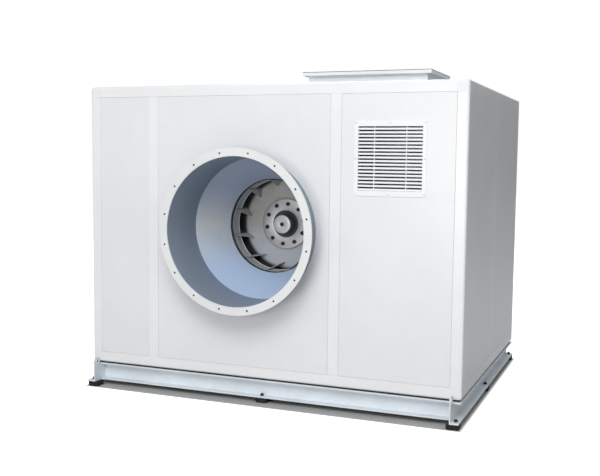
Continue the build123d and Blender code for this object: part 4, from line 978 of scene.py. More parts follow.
@dataclass
class Cabinet:
    """Profile frame, corner blocks and panels."""

    frame_edge: float = 2.2 * MM
    panel_edge: float = 2.4 * MM
    corner_edge: float = 1.2 * MM
    hidden_edge: float = 0.8 * MM
    panels: tuple[str, ...] = (
        "panel_front_left", "panel_front_inlet", "panel_front_louvre", "side_panels", "rear_panels",
        "roof_panels", "floor_panels",
    )

    def build(self) -> None:
        """Make the cabinet's pieces."""
        for node in ("corner_posts", "frame_rails", "mullions", "roof_bars"):
            soften(node, FRAME_WHITE, self.frame_edge, 3)
        soften("corner_blocks", CORNER_WHITE, self.corner_edge)
        for node in self.panels:
            soften(node, CABINET_WHITE, self.panel_edge, 3)
        for node in ("floor_bars", "outlet_curb"):
            soften(node, FRAME_WHITE, self.hidden_edge)
        dress("panel_landings", FRAME_WHITE)


@dataclass
class Louvre:
    """Bordered frame, sloping slats and the screws that hold it."""

    slats: int = 18
    slat_thickness: float = 1.5 * MM
    slat_lip: float = 9.6 * MM
    hem: float = 2.0 * MM
    screw_radius: float = 3.6 * MM
    screw_height: float = 1.6 * MM
    screw_socket: float = 0.38
    slat_ease: float = 0.5 * MM
    lip_share: float = 0.62
    screw_inset: tuple[float, float] = (9.0 * MM, 12.0 * MM)
    frame_edge: float = 0.7 * MM
    # Near-black colour deep in the slats' gaps: painted shade.
    shade: Colour = (34, 35, 37)
    painted_shade_depth: float = 7.0 * MM
    divider_places: tuple[float, float] = (0.25, 0.75)
    divider: float = 4.0 * MM
    divider_setback: float = 0.6 * MM
    divider_depth: float = 8.0 * MM

    def build_dividers(self, lowest: Span, highest: Span) -> None:
        """Make the upright bars that the slats pass through.

        Args:
            lowest: The lowest slat's box.
            highest: The highest slat's box.
        """
        width = lowest.high.x - lowest.low.x
        front = lowest.low.y + self.divider_setback
        bottom, top = lowest.low.z - self.slat_lip / 2, highest.high.z + self.slat_lip / 2
        outline = oblong(front, bottom, front + self.divider_depth, top)
        bars = []
        for share in self.divider_places:
            x = lowest.low.x + share * width - self.divider / 2
            bars.append(prism("louvre_dividers", outline, x, x + self.divider))
        put(joined("louvre_dividers", bars), LOUVRE_WHITE, "root", "louvre_paint")

    def slat_section(self, box: Span, pitch: float) -> Outline:
        """One slat's section as (y, z): an upright front lip, then a slope to the back.

        Args:
            box: The box of the lowest slat.
            pitch: Distance from one slat to the next.

        Returns:
            The closed outline.
        """
        y0, z0 = box.low.y, box.low.z
        y1, z1 = box.high.y, box.high.z
        t = self.slat_thickness
        lip = z0 + min(self.slat_lip, self.lip_share * pitch)
        return [
            (y0, z0), (y0 + self.hem, z0), (y0 + self.hem, z0 + t), (y0 + t, z0 + t), (y0 + t, lip - 2 * t),
            (y1, z1 - t), (y1, z1), (y0 + t, lip), (y0, lip),
        ]

    def build_slats(self) -> None:
        """Make the slats, as one row of copies."""
        boxes = sorted(shell_boxes("louvre_slats"), key=lambda span: span.low.z)
        lowest = boxes[0]
        pitch = (boxes[-1].low.z - lowest.low.z) / (len(boxes) - 1)
        outline = eased(self.slat_section(lowest, pitch), self.slat_ease, 2)
        slat = prism("louvre_slats_shape", outline, lowest.low.x, lowest.high.x)
        depth = lowest.low.y + self.slat_thickness
        # The slats darken towards the back: painted shade in the gaps.
        shade = Fade("Y", depth, depth + self.painted_shade_depth, self.shade)
        finish = replace(LOUVRE_WHITE, name="louvre_white_slats", fades=(shade,))
        slats = cooked(
            slat, ROW, finish, Count=self.slats, Turn=0.0, Centre=(0, 0, 0), Step=(0, 0, pitch)
        )
        put(slats, finish, "root", "louvre_paint", "louvre_slats")
        self.build_dividers(lowest, boxes[-1])

    def screw_places(self, box: Span) -> list[Vector]:
        """Places of the eight screws on the border."""
        dx, dz = self.screw_inset
        middle = box.centre
        xs = (box.low.x + dx, middle.x, box.high.x - dx)
        zs = (box.low.z + dz, middle.z, box.high.z - dz)
        return [Vector((x, box.low.y, z)) for x in xs for z in zs if (x, z) != (middle.x, middle.z)]

    def build_screws(self, box: Span) -> None:
        """Make the round-headed socket screws."""
        r, h = self.screw_radius, self.screw_height
        socket, floor = self.screw_socket * r, -0.4 * h
        profile = [
            (0.0, 0.0), (r, 0.0), (r, -0.3 * h), (0.8 * r, -0.75 * h), (socket, -h), (socket, floor),
            (0.0, floor),
        ]
        head = lathe("screw_head", profile, Vector(), TINY)
        screws = scattered("louvre_screws", head, self.screw_places(box), BOLT_STEEL)
        put(screws, BOLT_STEEL, "root", "bolt_steel")

    def build(self) -> None:
        """Make the louvre's pieces."""
        soften("louvre_frame", LOUVRE_WHITE, self.frame_edge)
        self.build_slats()
        self.build_screws(Span.of("louvre_frame"))


@dataclass
class Inlet:
    """Round spigot with its drilled flange, and the cone that leads into the wheel."""

    sheet: float = 3.0 * MM
    flange_thickness: float = 6.0 * MM
    holes: int = 16
    hole_radius: float = 5.5 * MM
    hole_inset: float = 22.5 * MM
    bead_width: float = 5.0 * MM
    bead_height: float = 0.8 * MM
    bead_end: float = 1.0 * MM
    beads: int = 4
    weld_root: float = 0.2 * MM
    weld_leg: float = 4.0 * MM
    flange_edge: float = 0.7 * MM
    tube_ease: float = 0.4 * MM
    cone_ease: float = 0.8 * MM
    bore_radius: float = 400.0 * MM
    wall_ring: tuple[float, float] = (40.0 * MM, 43.0 * MM)
    wall_ring_width: float = 37.0 * MM
    joint_width: float = 22.0 * MM
    throat_radius: float = 274.0 * MM
    rim_width: float = 41.0 * MM
    step: float = 4.0 * MM
    # Painted light on the cone: bluer below the axis as a painted reflection, duller above it as painted
    # shade.
    painted_light_reach: float = 240.0 * MM
    painted_low_reflection: Colour = (180, 200, 228)
    painted_high_shade: Colour = (172, 184, 202)
    # Dark nuts with a narrow bore fill the flange's holes with painted shade.
    nut_setback: float = 2.5 * MM
    nut_fit: float = 0.1 * MM
    nut_bore: float = 1.4 * MM
    nut_radius: float = 9.0 * MM
    nut_depth: float = 5.0 * MM

    def __post_init__(self) -> None:
        """Take the axis and the ends from the frame."""
        self.box = Span.of("inlet_spigot")
        self.cone = Span.of("inlet_cone")
        self.axis = self.box.centre
        self.wall_y = Span.of("panel_front_inlet").low.y
        self.back = self.box.low.y + self.flange_thickness

    def hole_places(self) -> Outline:
        """Centres of the flange's holes, about the axis."""
        return circle(self.bore_radius + self.hole_inset, self.holes, 180.0 / self.holes)

    def build_nuts(self) -> None:
        """Make the dark press nuts behind the flange's holes, which darken the holes in place of the shade
        there: painted shade.
        """
        start, end = self.box.low.y + self.nut_setback, self.back + self.nut_depth
        barrel = self.hole_radius - self.nut_fit
        profile = [
            (self.nut_bore, start), (barrel, start), (barrel, self.back), (self.nut_radius, self.back),
            (self.nut_radius, end), (self.nut_bore, end),
        ]
        x, z = self.hole_places()[0]
        nut = lathe("flange_nuts", profile, self.axis + Vector((x, 0, z)), TINY)
        put(round_axis(nut, DARK_BOLT, self.holes, self.axis), DARK_BOLT, "root", "bolt_steel")

    def build_flange(self) -> None:
        """Make the drilled flange."""
        rims = [circle(radius, FINE) for radius in (self.box.radius, self.bore_radius)]
        places = marks("places", [Vector((x, y, 0)) for x, y in self.hole_places()])
        ring = cooked(
            loops_mesh("inlet_flange_shape", rims), PLATE, FLANGE_WHITE, Places=new_object("places", places),
            Hole_Radius=self.hole_radius, Thickness=self.flange_thickness, Rotation=(math.pi / 2, 0, 0),
            Centre=(self.axis.x, self.back, self.axis.z),
        )
        ring = bevelled(ring, self.flange_edge, 2, 60)
        put(ring, FLANGE_WHITE, "root", "inlet_paint", "inlet_spigot")

    def build_tube(self) -> None:
        """Make the tube behind the flange, with its wall ring and joint flange."""
        inner = self.bore_radius
        outer = inner + self.sheet
        front, end = self.back, self.box.high.y
        ring0, ring1 = (self.wall_y + depth for depth in self.wall_ring)
        wide = outer + self.wall_ring_width
        joint = inner + self.joint_width
        profile = [
            (inner, front), (outer, front), (outer, ring0), (wide, ring0), (wide, ring1), (outer, ring1),
            (outer, end - self.sheet), (joint, end - self.sheet), (joint, end), (inner, end),
        ]
        tube = lathe("inlet_tube_shape", eased(profile, self.tube_ease, 2), self.axis, FINE)
        # The tube's dark blue-grey finish is painted shade inside the spigot.
        put(tube, SPIGOT_PAINTED_SHADE, "root", "inlet_paint", "inlet_spigot")

    def build_welds(self) -> None:
        """Make the weld seams across the flange's face, and the bead round the tube behind it."""
        face, level = self.box.low.y, self.axis.z
        foot, top = face + self.weld_root, face - self.bead_height
        half = self.bead_width / 2
        outline = [
            (foot, level - half), (top, level - half / 2), (top, level + half / 2), (foot, level + half),
        ]
        inner, outer = self.bore_radius + self.bead_end, self.box.radius - self.bead_end
        bead = prism("flange_welds", outline, self.axis.x + inner, self.axis.x + outer)
        put(round_axis(bead, FLANGE_WHITE, self.beads, self.axis), FLANGE_WHITE, "root", "inlet_paint")
        tube, back, leg = self.bore_radius + self.sheet, self.back, self.weld_leg
        inside, behind = tube - self.weld_root, back - self.weld_root
        fillet = [(inside, behind), (tube + leg, behind), (tube, back + leg), (inside, back + leg)]
        put(lathe("flange_back_weld", fillet, self.axis, FINE), FLANGE_WHITE, "root", "inlet_paint")

    def build_cone(self) -> None:
        """Make the cone, rolled over at its throat."""
        start, end = self.cone.low.y, self.cone.high.y
        sheet = self.sheet
        wide = self.bore_radius - self.step
        throat = self.throat_radius
        rim = throat + self.rim_width
        profile = [
            (wide, start), (self.bore_radius + self.joint_width, start),
            (self.bore_radius + self.joint_width, start + sheet), (wide + sheet, start + sheet),
            (throat + sheet, end - sheet), (rim, end - sheet), (rim, end), (throat, end),
        ]
        cone = lathe("inlet_cone_shape", eased(profile, self.cone_ease), self.axis, FINE)
        level = self.axis.z
        # Painted reflection below the axis and painted shade above it.
        painted_cool_light = Fade("Z", level, level - self.painted_light_reach, self.painted_low_reflection)
        painted_dull_shade = Fade("Z", level, level + self.painted_light_reach, self.painted_high_shade)
        finish = replace(CONE_GREY, name="cone_grey_toned", fades=(painted_cool_light, painted_dull_shade))
        put(cone, finish, "root", "cone_paint", "inlet_cone")

    def build(self) -> None:
        """Make the inlet's pieces."""
        self.build_flange()
        self.build_tube()
        self.build_nuts()
        self.build_welds()
        self.build_cone()


@dataclass
class Wheel:
    """Backward-curved wheel: shroud, blades, backplate, hub and the bolts that join them."""

    sheet: float = 3.0 * MM
    collar_gap: float = 5.0 * MM
    collar_end: float = 93.0 * MM
    bend: float = 20.0 * MM
    blades: int = 11
    blade_thickness: float = 4.0 * MM
    blade_first: float = 106.3
    mid_radius: float = 330.0 * MM
    mid_sweep: float = 21.6
    tip_sweep: float = 35.5
    root_radius: float = 226.0 * MM
    heel_radius: float = 231.0 * MM
    nose_radius: float = 265.0 * MM
    front_setback: float = 5.0 * MM
    tip_setback: float = 2.0 * MM
    weld_gap: float = 0.2 * MM
    heel_sink: float = 1.0 * MM
    notch: float = 0.05 * MM
    # Painted light on the wheel: shadow behind the collar's bend, shade in the blades' passages and inside
    # the hub ring, and a bluer tone towards the backplate's bottom as a painted reflection.
    shadow_reach: float = 3.0 * MM
    shade_lead: float = 6.0 * MM
    shade_end: float = 1.0 * MM
    painted_cool_above: float = 60.0 * MM
    painted_cool_below: float = 180.0 * MM
    plate_band: float = 10.0 * MM
    recess_band: float = 1.0 * MM
    ring_hole: float = 80.0 * MM
    bolts: int = 10
    bolt_circle: float = 121.0 * MM
    bolt_first: float = 10.7
    bolt_across: float = 22.0 * MM
    bolt_head: float = 9.0 * MM
    bolt_shank: float = 7.0 * MM
    nose: float = 55.0 * MM
    disc_hole: float = 12.0 * MM
    disc_seat: float = 6.0 * MM
    disc_bore: float = 8.3 * MM
    disc_ease: float = 1.2 * MM
    screw_head: float = 4.0 * MM
    screw_rim: float = 11.6 * MM
    screw_socket: float = 6.0 * MM
    socket_depth: float = 3.0 * MM
    screw_shank: float = 8.0 * MM
    hub_bore: float = 30.0 * MM
    hub_flange: float = 16.0 * MM
    hub_barrel: float = 75.0 * MM
    nose_fit: float = 0.3 * MM
    bolt_end: float = 14.0 * MM
    nut_height: float = 11.0 * MM
    nut_stub: float = 0.5 * MM
    blade_edge: float = 0.9 * MM
    shroud_ease: float = 1.2 * MM
    plate_ease: float = 1.5 * MM
    ring_ease: float = 2.5 * MM
    fine_from: float = 100.0 * MM
    # The bead on the collar's bend is white to carry a painted highlight.
    bead: float = 2.0 * MM
    bead_sink: float = 0.6 * MM
    # Colours below: the shroud's grey, painted shadow at the collar's front edge, painted shade in the
    # passages, a painted reflection towards the backplate's bottom, painted shade in the hub ring's recess.
    trim: float = 12.0 * MM
    shroud_grey: Colour = (176, 178, 180)
    painted_trim_shadow: Colour = (18, 18, 20)
    painted_passage_shade: Colour = (58, 59, 62)
    painted_cool_light: Colour = (202, 208, 218)
    painted_recess_shade: Colour = (70, 70, 72)

    def __post_init__(self) -> None:
        """Take the axis and the depths from the frame."""
        self.shroud = Span.of("wheel_shroud")
        self.plate = Span.of("wheel_backplate")
        self.ring = Span.of("hub_ring")
        self.hub = Span.of("wheel_hub")
        self.disc = Span.of("shaft_end_disc")
        self.axis = self.plate.centre
        self.collar_radius = self.nose_radius + self.collar_gap

    def passage_line(self, steps: int = 14) -> Outline:
        """The shroud's passage side, from the collar's front edge to the rim, as (radius, y)."""
        start = self.shroud.low.y
        middle = self.collar_radius + self.bend
        turn_y = start + self.collar_end
        points = [(self.collar_radius, start)]
        for i in range(steps + 1):
            angle = math.pi / 2 * i / steps
            points.append((middle - self.bend * math.cos(angle), turn_y + self.bend * math.sin(angle)))
        points.append((self.shroud.radius, self.shroud.high.y))
        return points

    def build_shroud(self) -> None:
        """Make the shroud as one turned sheet with a rounded front edge."""
        passage = self.passage_line()
        sheet = self.sheet
        outer = []
        for i, (radius, y) in enumerate(passage):
            before = Vector(passage[max(i - 1, 0)])
            after = Vector(passage[min(i + 1, len(passage) - 1)])
            along = (after - before).normalized()
            outer.append((radius + sheet * along.y, y - sheet * along.x))
        profile = passage + outer[::-1]
        turn = self.shroud.low.y + self.collar_end
        # Painted shadow: the shroud darkens just behind the collar's bend, and turns near black along the
        # collar's front edge for the cone's shadow.
        shadow = Fade("Y", turn, turn + self.shadow_reach, self.painted_passage_shade)
        start = self.shroud.low.y
        front = Fade("Y", start + self.trim, start + 0.7 * self.trim, self.painted_trim_shadow)
        finish = replace(WHEEL_GREY, name="wheel_grey_shroud", colour=self.shroud_grey, fades=(shadow, front))
        shroud = lathe("wheel_shroud_shape", eased(profile, self.shroud_ease, 2), self.axis, FINE)
        put(shroud, finish, "wheel", "wheel_paint", "wheel_shroud")
        # A white bead on the collar's bend: painted highlight.
        radius = self.collar_radius - self.bead_sink
        bead = [(radius + self.bead * x, turn + self.bead * y) for x, y in circle(1.0, 12)]
        put(lathe("collar_bead", bead, self.axis, FINE), LOUVRE_WHITE, "wheel", "wheel_paint")

    def blade_line(self) -> tuple[Vector, float]:
        """Centre and radius of the circle that a blade follows, about the wheel's axis."""
        points = []
        for radius, sweep in (
            (self.root_radius, 0.0), (self.mid_radius, self.mid_sweep), (self.shroud.radius, self.tip_sweep)
        ):
            angle = math.radians(self.blade_first - sweep)
            points.append(Vector((radius * math.cos(angle), radius * math.sin(angle))))
        a, b, c = points
        d = 2 * (a.x * (b.y - c.y) + b.x * (c.y - a.y) + c.x * (a.y - b.y))
        aa, bb, cc = (point.length_squared for point in points)
        x = (aa * (b.y - c.y) + bb * (c.y - a.y) + cc * (a.y - b.y)) / d
        y = (aa * (c.x - b.x) + bb * (a.x - c.x) + cc * (b.x - a.x)) / d
        centre = Vector((x, y))
        return centre, (a - centre).length

    def front_of_blade(self, radius: float) -> float:
        """Where a blade's front edge is along Y, at a radius."""
        start, back = self.shroud.low.y + self.front_setback, self.plate.low.y
        if radius < self.nose_radius:
            heel = self.heel_radius - self.heel_sink
            return back - (radius - heel) / (self.nose_radius - heel) * (back - start)
        middle = self.collar_radius + self.bend
        turn_y = self.shroud.low.y + self.collar_end
        if radius < self.collar_radius - self.weld_gap:
            return start
        if radius < middle:
            reach = min(max((middle - radius) / (self.bend + self.weld_gap), 0.0), 1.0)
            return turn_y + (self.bend + self.weld_gap) * math.sqrt(1 - reach**2)
        rise = self.shroud.high.y - turn_y - self.bend
        share = (radius - middle) / (self.shroud.radius - middle)
        return turn_y + self.bend + self.weld_gap + rise * share

    def blade_radii(self) -> list[float]:
        """Radii of a blade's cross-sections, closer together round the collar's bend."""
        edge = self.collar_radius - self.weld_gap
        middle = self.collar_radius + self.bend
        tip = self.shroud.radius - self.tip_setback
        radii = [self.heel_radius + (self.nose_radius - self.heel_radius) * i / 6 for i in range(7)]
        radii += [edge - self.notch, edge + self.notch]
        radii += [edge + (middle - edge) * share for share in (0.04, 0.12, 0.25, 0.45, 0.7, 1.0)]
        return radii + [middle + (tip - middle) * i / 8 for i in range(1, 9)]

    def build_blades(self) -> None:
        """Make one blade and repeat it round the axis."""
        centre, bow = self.blade_line()
        far = centre.length
        bearing = math.atan2(centre.y, centre.x)
        first = math.radians(self.blade_first)
        back = self.plate.low.y
        columns = []
        for radius in self.blade_radii():
            swing = math.acos((far**2 + radius**2 - bow**2) / (2 * far * radius))
            options = [bearing + swing, bearing - swing]
            angle = min(options, key=lambda a: abs(math.remainder(a - first, 2 * math.pi)))
            on_line = Vector((radius * math.cos(angle), radius * math.sin(angle)))
            across = (on_line - centre).normalized() * self.blade_thickness / 2
            inner, outer, front = on_line - across, on_line + across, self.front_of_blade(radius)
            columns.append([
                (self.axis.x + p.x, y, self.axis.z + p.y)
                for p, y in ((inner, front), (outer, front), (outer, back), (inner, back))
            ])
        blade = smooth(mesh_of("wheel_blades_shape", skinned(columns)))
        blade = bevelled(blade, self.blade_edge, 2, 60)
        # The blades darken outwards into the passages: painted shade.
        start, end = self.nose_radius - self.shade_lead, self.collar_radius + self.shade_end
        outward = Fade("R", start, end, self.painted_passage_shade)
        finish = replace(WHEEL_GREY, name="wheel_grey_blades", fades=(outward,))
        blades = round_axis(blade, finish, self.blades, self.axis, -1)
        put(blades, finish, "wheel", "wheel_paint", "wheel_blades")

    def turned_piece(self, node: str, profile: Outline, finish: Finish, ease: float) -> None:
        """Turn one of the wheel's round pieces and put it in its node's place.

        Args:
            node: The CAD node.
            profile: Its section as (radius, y).
            finish: Its finish.
            ease: Rounding of its corners.
        """
        segments = FINE if profile[1][0] > self.fine_from else ROUND
        mesh = lathe(f"{node}_shape", eased(profile, ease), self.axis, segments)
        put(mesh, finish, "wheel", node_slot(node), node)

    def plate_finish(self) -> Finish:
        """The backplate's finish with painted light: bluer towards the bottom as a painted reflection, with
        painted shade in the blades' passages and inside the hub ring.
        """
        level, nose, hole = self.axis.z, self.nose_radius, self.ring_hole
        fades = (
            Fade("Z", level + self.painted_cool_above, level - self.painted_cool_below, self.painted_cool_light),
            Fade("R", nose - self.plate_band, nose + self.plate_band, self.painted_passage_shade),
            Fade("R", hole + self.recess_band, hole - self.recess_band, self.painted_recess_shade),
        )
        return replace(WHEEL_GREY, name="wheel_grey_backplate", fades=fades)

    def build_round_pieces(self) -> None:
        """Make the backplate, hub ring, hub and end disc."""
        plate, ring, hub = self.plate, self.ring, self.hub
        section = oblong(self.nose + self.nose_fit, plate.low.y, plate.radius, plate.high.y)
        self.turned_piece("wheel_backplate", section, self.plate_finish(), self.plate_ease)
        section = oblong(self.ring_hole, ring.low.y, ring.radius, ring.high.y)
        self.turned_piece("hub_ring", section, HUB_STEEL, self.ring_ease)
        front, rear = plate.high.y, plate.high.y + self.hub_flange
        section = [
            (self.hub_bore, hub.low.y), (self.nose, hub.low.y), (self.nose, front), (hub.radius, front),
            (hub.radius, rear), (self.hub_barrel, rear), (self.hub_barrel, hub.high.y),
            (self.hub_bore, hub.high.y),
        ]
        # The hub's dark cast iron is its own metal and also painted shade round the shaft's end.
        self.turned_piece("wheel_hub", section, CAST_IRON, self.plate_ease)
        self.build_end_disc()

    def build_end_disc(self) -> None:
        """Make the disc on the shaft's end and the socket screw that holds it."""
        face, back, end = self.disc.low.y, self.hub.low.y, self.disc.high.y
        seat, hole, bore = face + self.disc_seat, self.disc_hole, self.disc_bore
        section = [
            (bore, seat), (hole, seat), (hole, face), (self.disc.radius, face), (self.disc.radius, back),
            (bore, back),
        ]
        disc = lathe("shaft_end_disc_shape", eased(section, self.disc_ease), self.axis)
        head = seat - self.screw_head
        floor = head + self.socket_depth
        socket, rim, shank = self.screw_socket, self.screw_rim, self.screw_shank
        section = [
            (0, floor), (socket, floor), (socket, head), (rim, head), (rim, seat), (shank, seat),
            (shank, end), (0, end),
        ]
        screw = lathe("end_screw", section, self.axis, MEDIUM)
        put(disc, SHAFT_STEEL, "wheel", "shaft_steel", "shaft_end_disc")
        put(screw, DARK_BOLT, "wheel", "bolt_steel")

    def build_bolts(self) -> None:
        """Make the hub bolts with their nuts, as one ring of copies."""
        face, rear = self.ring.low.y, self.plate.high.y + self.hub_flange
        x, z = circle(self.bolt_circle, 1, self.bolt_first)[0]
        spot = self.axis + Vector((x, 0, z))
        bolt = hex_bolt(self.bolt_across, self.bolt_head, self.bolt_shank, rear - face + self.bolt_end)
        nut = hex_bolt(self.bolt_across, self.nut_height, self.bolt_shank, self.nut_stub)
        for mesh, y, way in ((bolt, face, 1), (nut, rear, -1)):
            turn = Matrix.Rotation(way * math.pi / 2, 4, "X")
            mesh.transform(Matrix.Translation((spot.x, y, spot.z)) @ turn)
        bolts = round_axis(joined("hub_bolts_shape", [bolt, nut]), DARK_BOLT, self.bolts, self.axis, -1)
        put(bolts, DARK_BOLT, "wheel", "bolt_steel", "hub_bolts")

    def build(self) -> None:
        """Make the wheel's pieces."""
        self.build_shroud()
        self.build_blades()
        self.build_round_pieces()
        self.build_bolts()


@dataclass
class Scroll:
    """Sheet scroll round the wheel, on its two foot angles."""

    edge: float = 0.8 * MM
    nodes: tuple[str, ...] = ("scroll_wrapper", "scroll_front_plate", "scroll_rear_plate", "scroll_feet")

    def build(self) -> None:
        """Make the scroll's pieces."""
        for node in self.nodes:
            soften(node, GALVANISED, self.edge)


@dataclass
class Outlet:
    """Roof collar with its drilled flange and gasket, and the canvas sleeve below it."""

    edge: float = 0.8 * MM
    fold: float = 7.0 * MM
    thickness: float = 1.6 * MM
    rows: int = 24
    held: float = 0.22
    corner: float = 6.0 * MM
    gasket_edge: float = 0.6 * MM

    def sleeve_ring(self, box: Span, grow: float) -> Outline:
        """The sleeve's plan, with rounded corners, grown outwards."""
        low, high = box.low, box.high
        return eased(oblong(low.x - grow, low.y - grow, high.x + grow, high.y + grow), self.corner, 6)

    def build_sleeve(self) -> None:
        """Make the canvas sleeve: held flat at its two ends, with a soft fold between."""
        box = Span.of("flexible_connector")
        rings = []
        for i in range(self.rows + 1):
            share = i / self.rows
            free = (share - self.held) / (1 - 2 * self.held)
            loose = math.sin(math.pi * free) if 0 < free < 1 else 0.0
            grow = self.fold * loose - self.thickness
            z = box.low.z + (box.high.z - box.low.z) * share
            rings.append([(x, y, z) for x, y in self.sleeve_ring(box, grow)])
        tube = mesh_of("canvas_sleeve", skinned(rings, capped=False))
        piece = new_object("canvas_sleeve", smooth(tube))
        shell = piece.modifiers.new("cloth", "SOLIDIFY")
        shell.thickness = self.thickness
        shell.offset = 1.0
        sleeve = put(applied(piece), CANVAS_GREY, "root", "canvas", "flexible_connector")

    def build(self) -> None:
        """Make the outlet's pieces."""
        soften("outlet_duct", OUTLET_GREY, self.edge)
        soften("outlet_gasket", SEAL_FOAM, self.gasket_edge)
        self.build_sleeve()


@dataclass
class Base:
    """Channel base with lifting lugs, seal strips, rubber pads and their bolts."""

    edge: float = 1.6 * MM
    pad_edge: float = 4.0 * MM
    nut_across: float = 19.0 * MM
    nut_height: float = 10.0 * MM
    stud: float = 6.0 * MM
    stud_end: float = 4.0 * MM
    stud_chamfer: float = 2.0 * MM
    gasket_edge: float = 1.0 * MM

    def build_pad_bolts(self) -> None:
        """Make the studs with their nuts, one on each pad."""
        boxes = shell_boxes("pad_bolts")
        flange_top = boxes[0].high.z - self.nut_height - self.stud_end
        nut = hex_bolt(self.nut_across, self.nut_height, self.stud, flange_top - boxes[0].low.z)
        end = self.nut_height + self.stud_end
        profile = [
            (0, 0), (self.stud, 0), (self.stud, end - self.stud_chamfer), (0.8 * self.stud, end), (0, end),
        ]
        tip = lathe("stud_tip", profile, Vector(), TINY)
        tip.transform(Matrix.Rotation(math.pi / 2, 4, "X"))
        points = [Vector((box.centre.x, box.centre.y, flange_top)) for box in boxes]
        bolts = scattered("pad_bolts_shape", joined("stud_and_nut", [nut, tip]), points, DARK_BOLT)
        put(bolts, DARK_BOLT, "root", node_slot("pad_bolts"), "pad_bolts")

    def build(self) -> None:
        """Make the base's pieces."""
        for node in ("base_side_beams", "base_cross_beams"):
            soften(node, BASE_GREY, self.edge, 3)
        soften("base_gasket", SEAL_FOAM, self.gasket_edge)
        soften("rubber_pads", PAD_RUBBER, self.pad_edge, 4)
        self.build_pad_bolts()


@dataclass
class Drive:
    """Shaft, bearings on their stand, pulleys and belts."""

    beam_edge: float = 1.0 * MM
    fine_edge: float = 0.8 * MM
    rail_edge: float = 1.5 * MM
    stand_edge: float = 2.0 * MM
    housing_edge: float = 2.5 * MM
    shaft_ease: float = 2.0 * MM
    thread_radius: float = 8.0 * MM
    thread_depth: float = 42.0 * MM

    def build(self) -> None:
        """Make the drive's pieces."""
        shaft = Span.of("fan_shaft")
        bore, floor = self.thread_radius, shaft.low.y + self.thread_depth
        profile = [
            (0.0, floor), (bore, floor), (bore, shaft.low.y), (shaft.radius, shaft.low.y),
            (shaft.radius, shaft.high.y), (0.0, shaft.high.y),
        ]
        mesh = lathe("fan_shaft_shape", eased(profile, self.shaft_ease), shaft.centre)
        put(mesh, SHAFT_STEEL, "wheel", "shaft_steel", "fan_shaft")
        soften("bearing_housings", CAST_IRON, self.housing_edge, 3)
        soften("bearing_pedestal", STAND_GREY, self.stand_edge)
        soften("drive_beams", STAND_GREY, self.beam_edge)
        soften("slide_rails", STAND_GREY, self.rail_edge)
        for node in ("bearing_inner_rings", "bearing_balls"):
            dress(node, SHAFT_STEEL)
        soften("drive_bolts", BOLT_STEEL, self.fine_edge)
        for node in ("driven_pulley", "drive_pulley"):
            soften(node, CAST_IRON, self.fine_edge)
        soften("v_belts", BELT_BLACK, self.fine_edge)


@dataclass
class Motor:
    """Finned motor with its end shields, fan, cowl and terminal box."""

    fin_edge: float = 0.8 * MM
    shield_edge: float = 2.0 * MM
    cowl_edge: float = 0.6 * MM
    box_edge: float = 1.5 * MM

    def build(self) -> None:
        """Make the motor's pieces."""
        soften("motor_frame", MOTOR_BLUE, self.fin_edge)
        soften("motor_end_shields", MOTOR_BLUE, self.shield_edge, 3)
        soften("motor_cowl", MOTOR_BLUE, self.cowl_edge)
        soften("terminal_box", BOX_GREY, self.box_edge)
        dress("motor_rotor", SHAFT_STEEL)
        dress("motor_fan", BOX_GREY)


@dataclass
class ServiceDoor:
    """Hinged rear door with its hinges and quarter-turn latches."""

    panel_edge: float = 2.4 * MM
    hinge_edge: float = 0.8 * MM
    latch_edge: float = 1.5 * MM

    def build(self) -> None:
        """Make the door's pieces."""
        soften("rear_door", CABINET_WHITE, self.panel_edge, 3)
        for node in ("door_hinges_fixed", "door_hinges_moving"):
            soften(node, HINGE_BLACK, self.hinge_edge)
        for node in ("latch_lower", "latch_upper"):
            soften(node, HINGE_BLACK, self.latch_edge, 3)


@dataclass(frozen=True)
class Lamp:
    """One soft square lamp, with its power in watts."""

    name: str
    place: Place
    aim: Place
    power: float
    size: float

    def build(self) -> None:
        """Add the lamp to the scene, facing the point that it aims at."""
        data = bpy.data.lights.new(self.name, "AREA")
        data.energy = self.power
        data.size = self.size
        light = new_object(self.name, data)
        light.location = self.place
        ahead = Vector(self.aim) - Vector(self.place)
        light.rotation_euler = ahead.to_track_quat("-Z", "Y").to_euler()


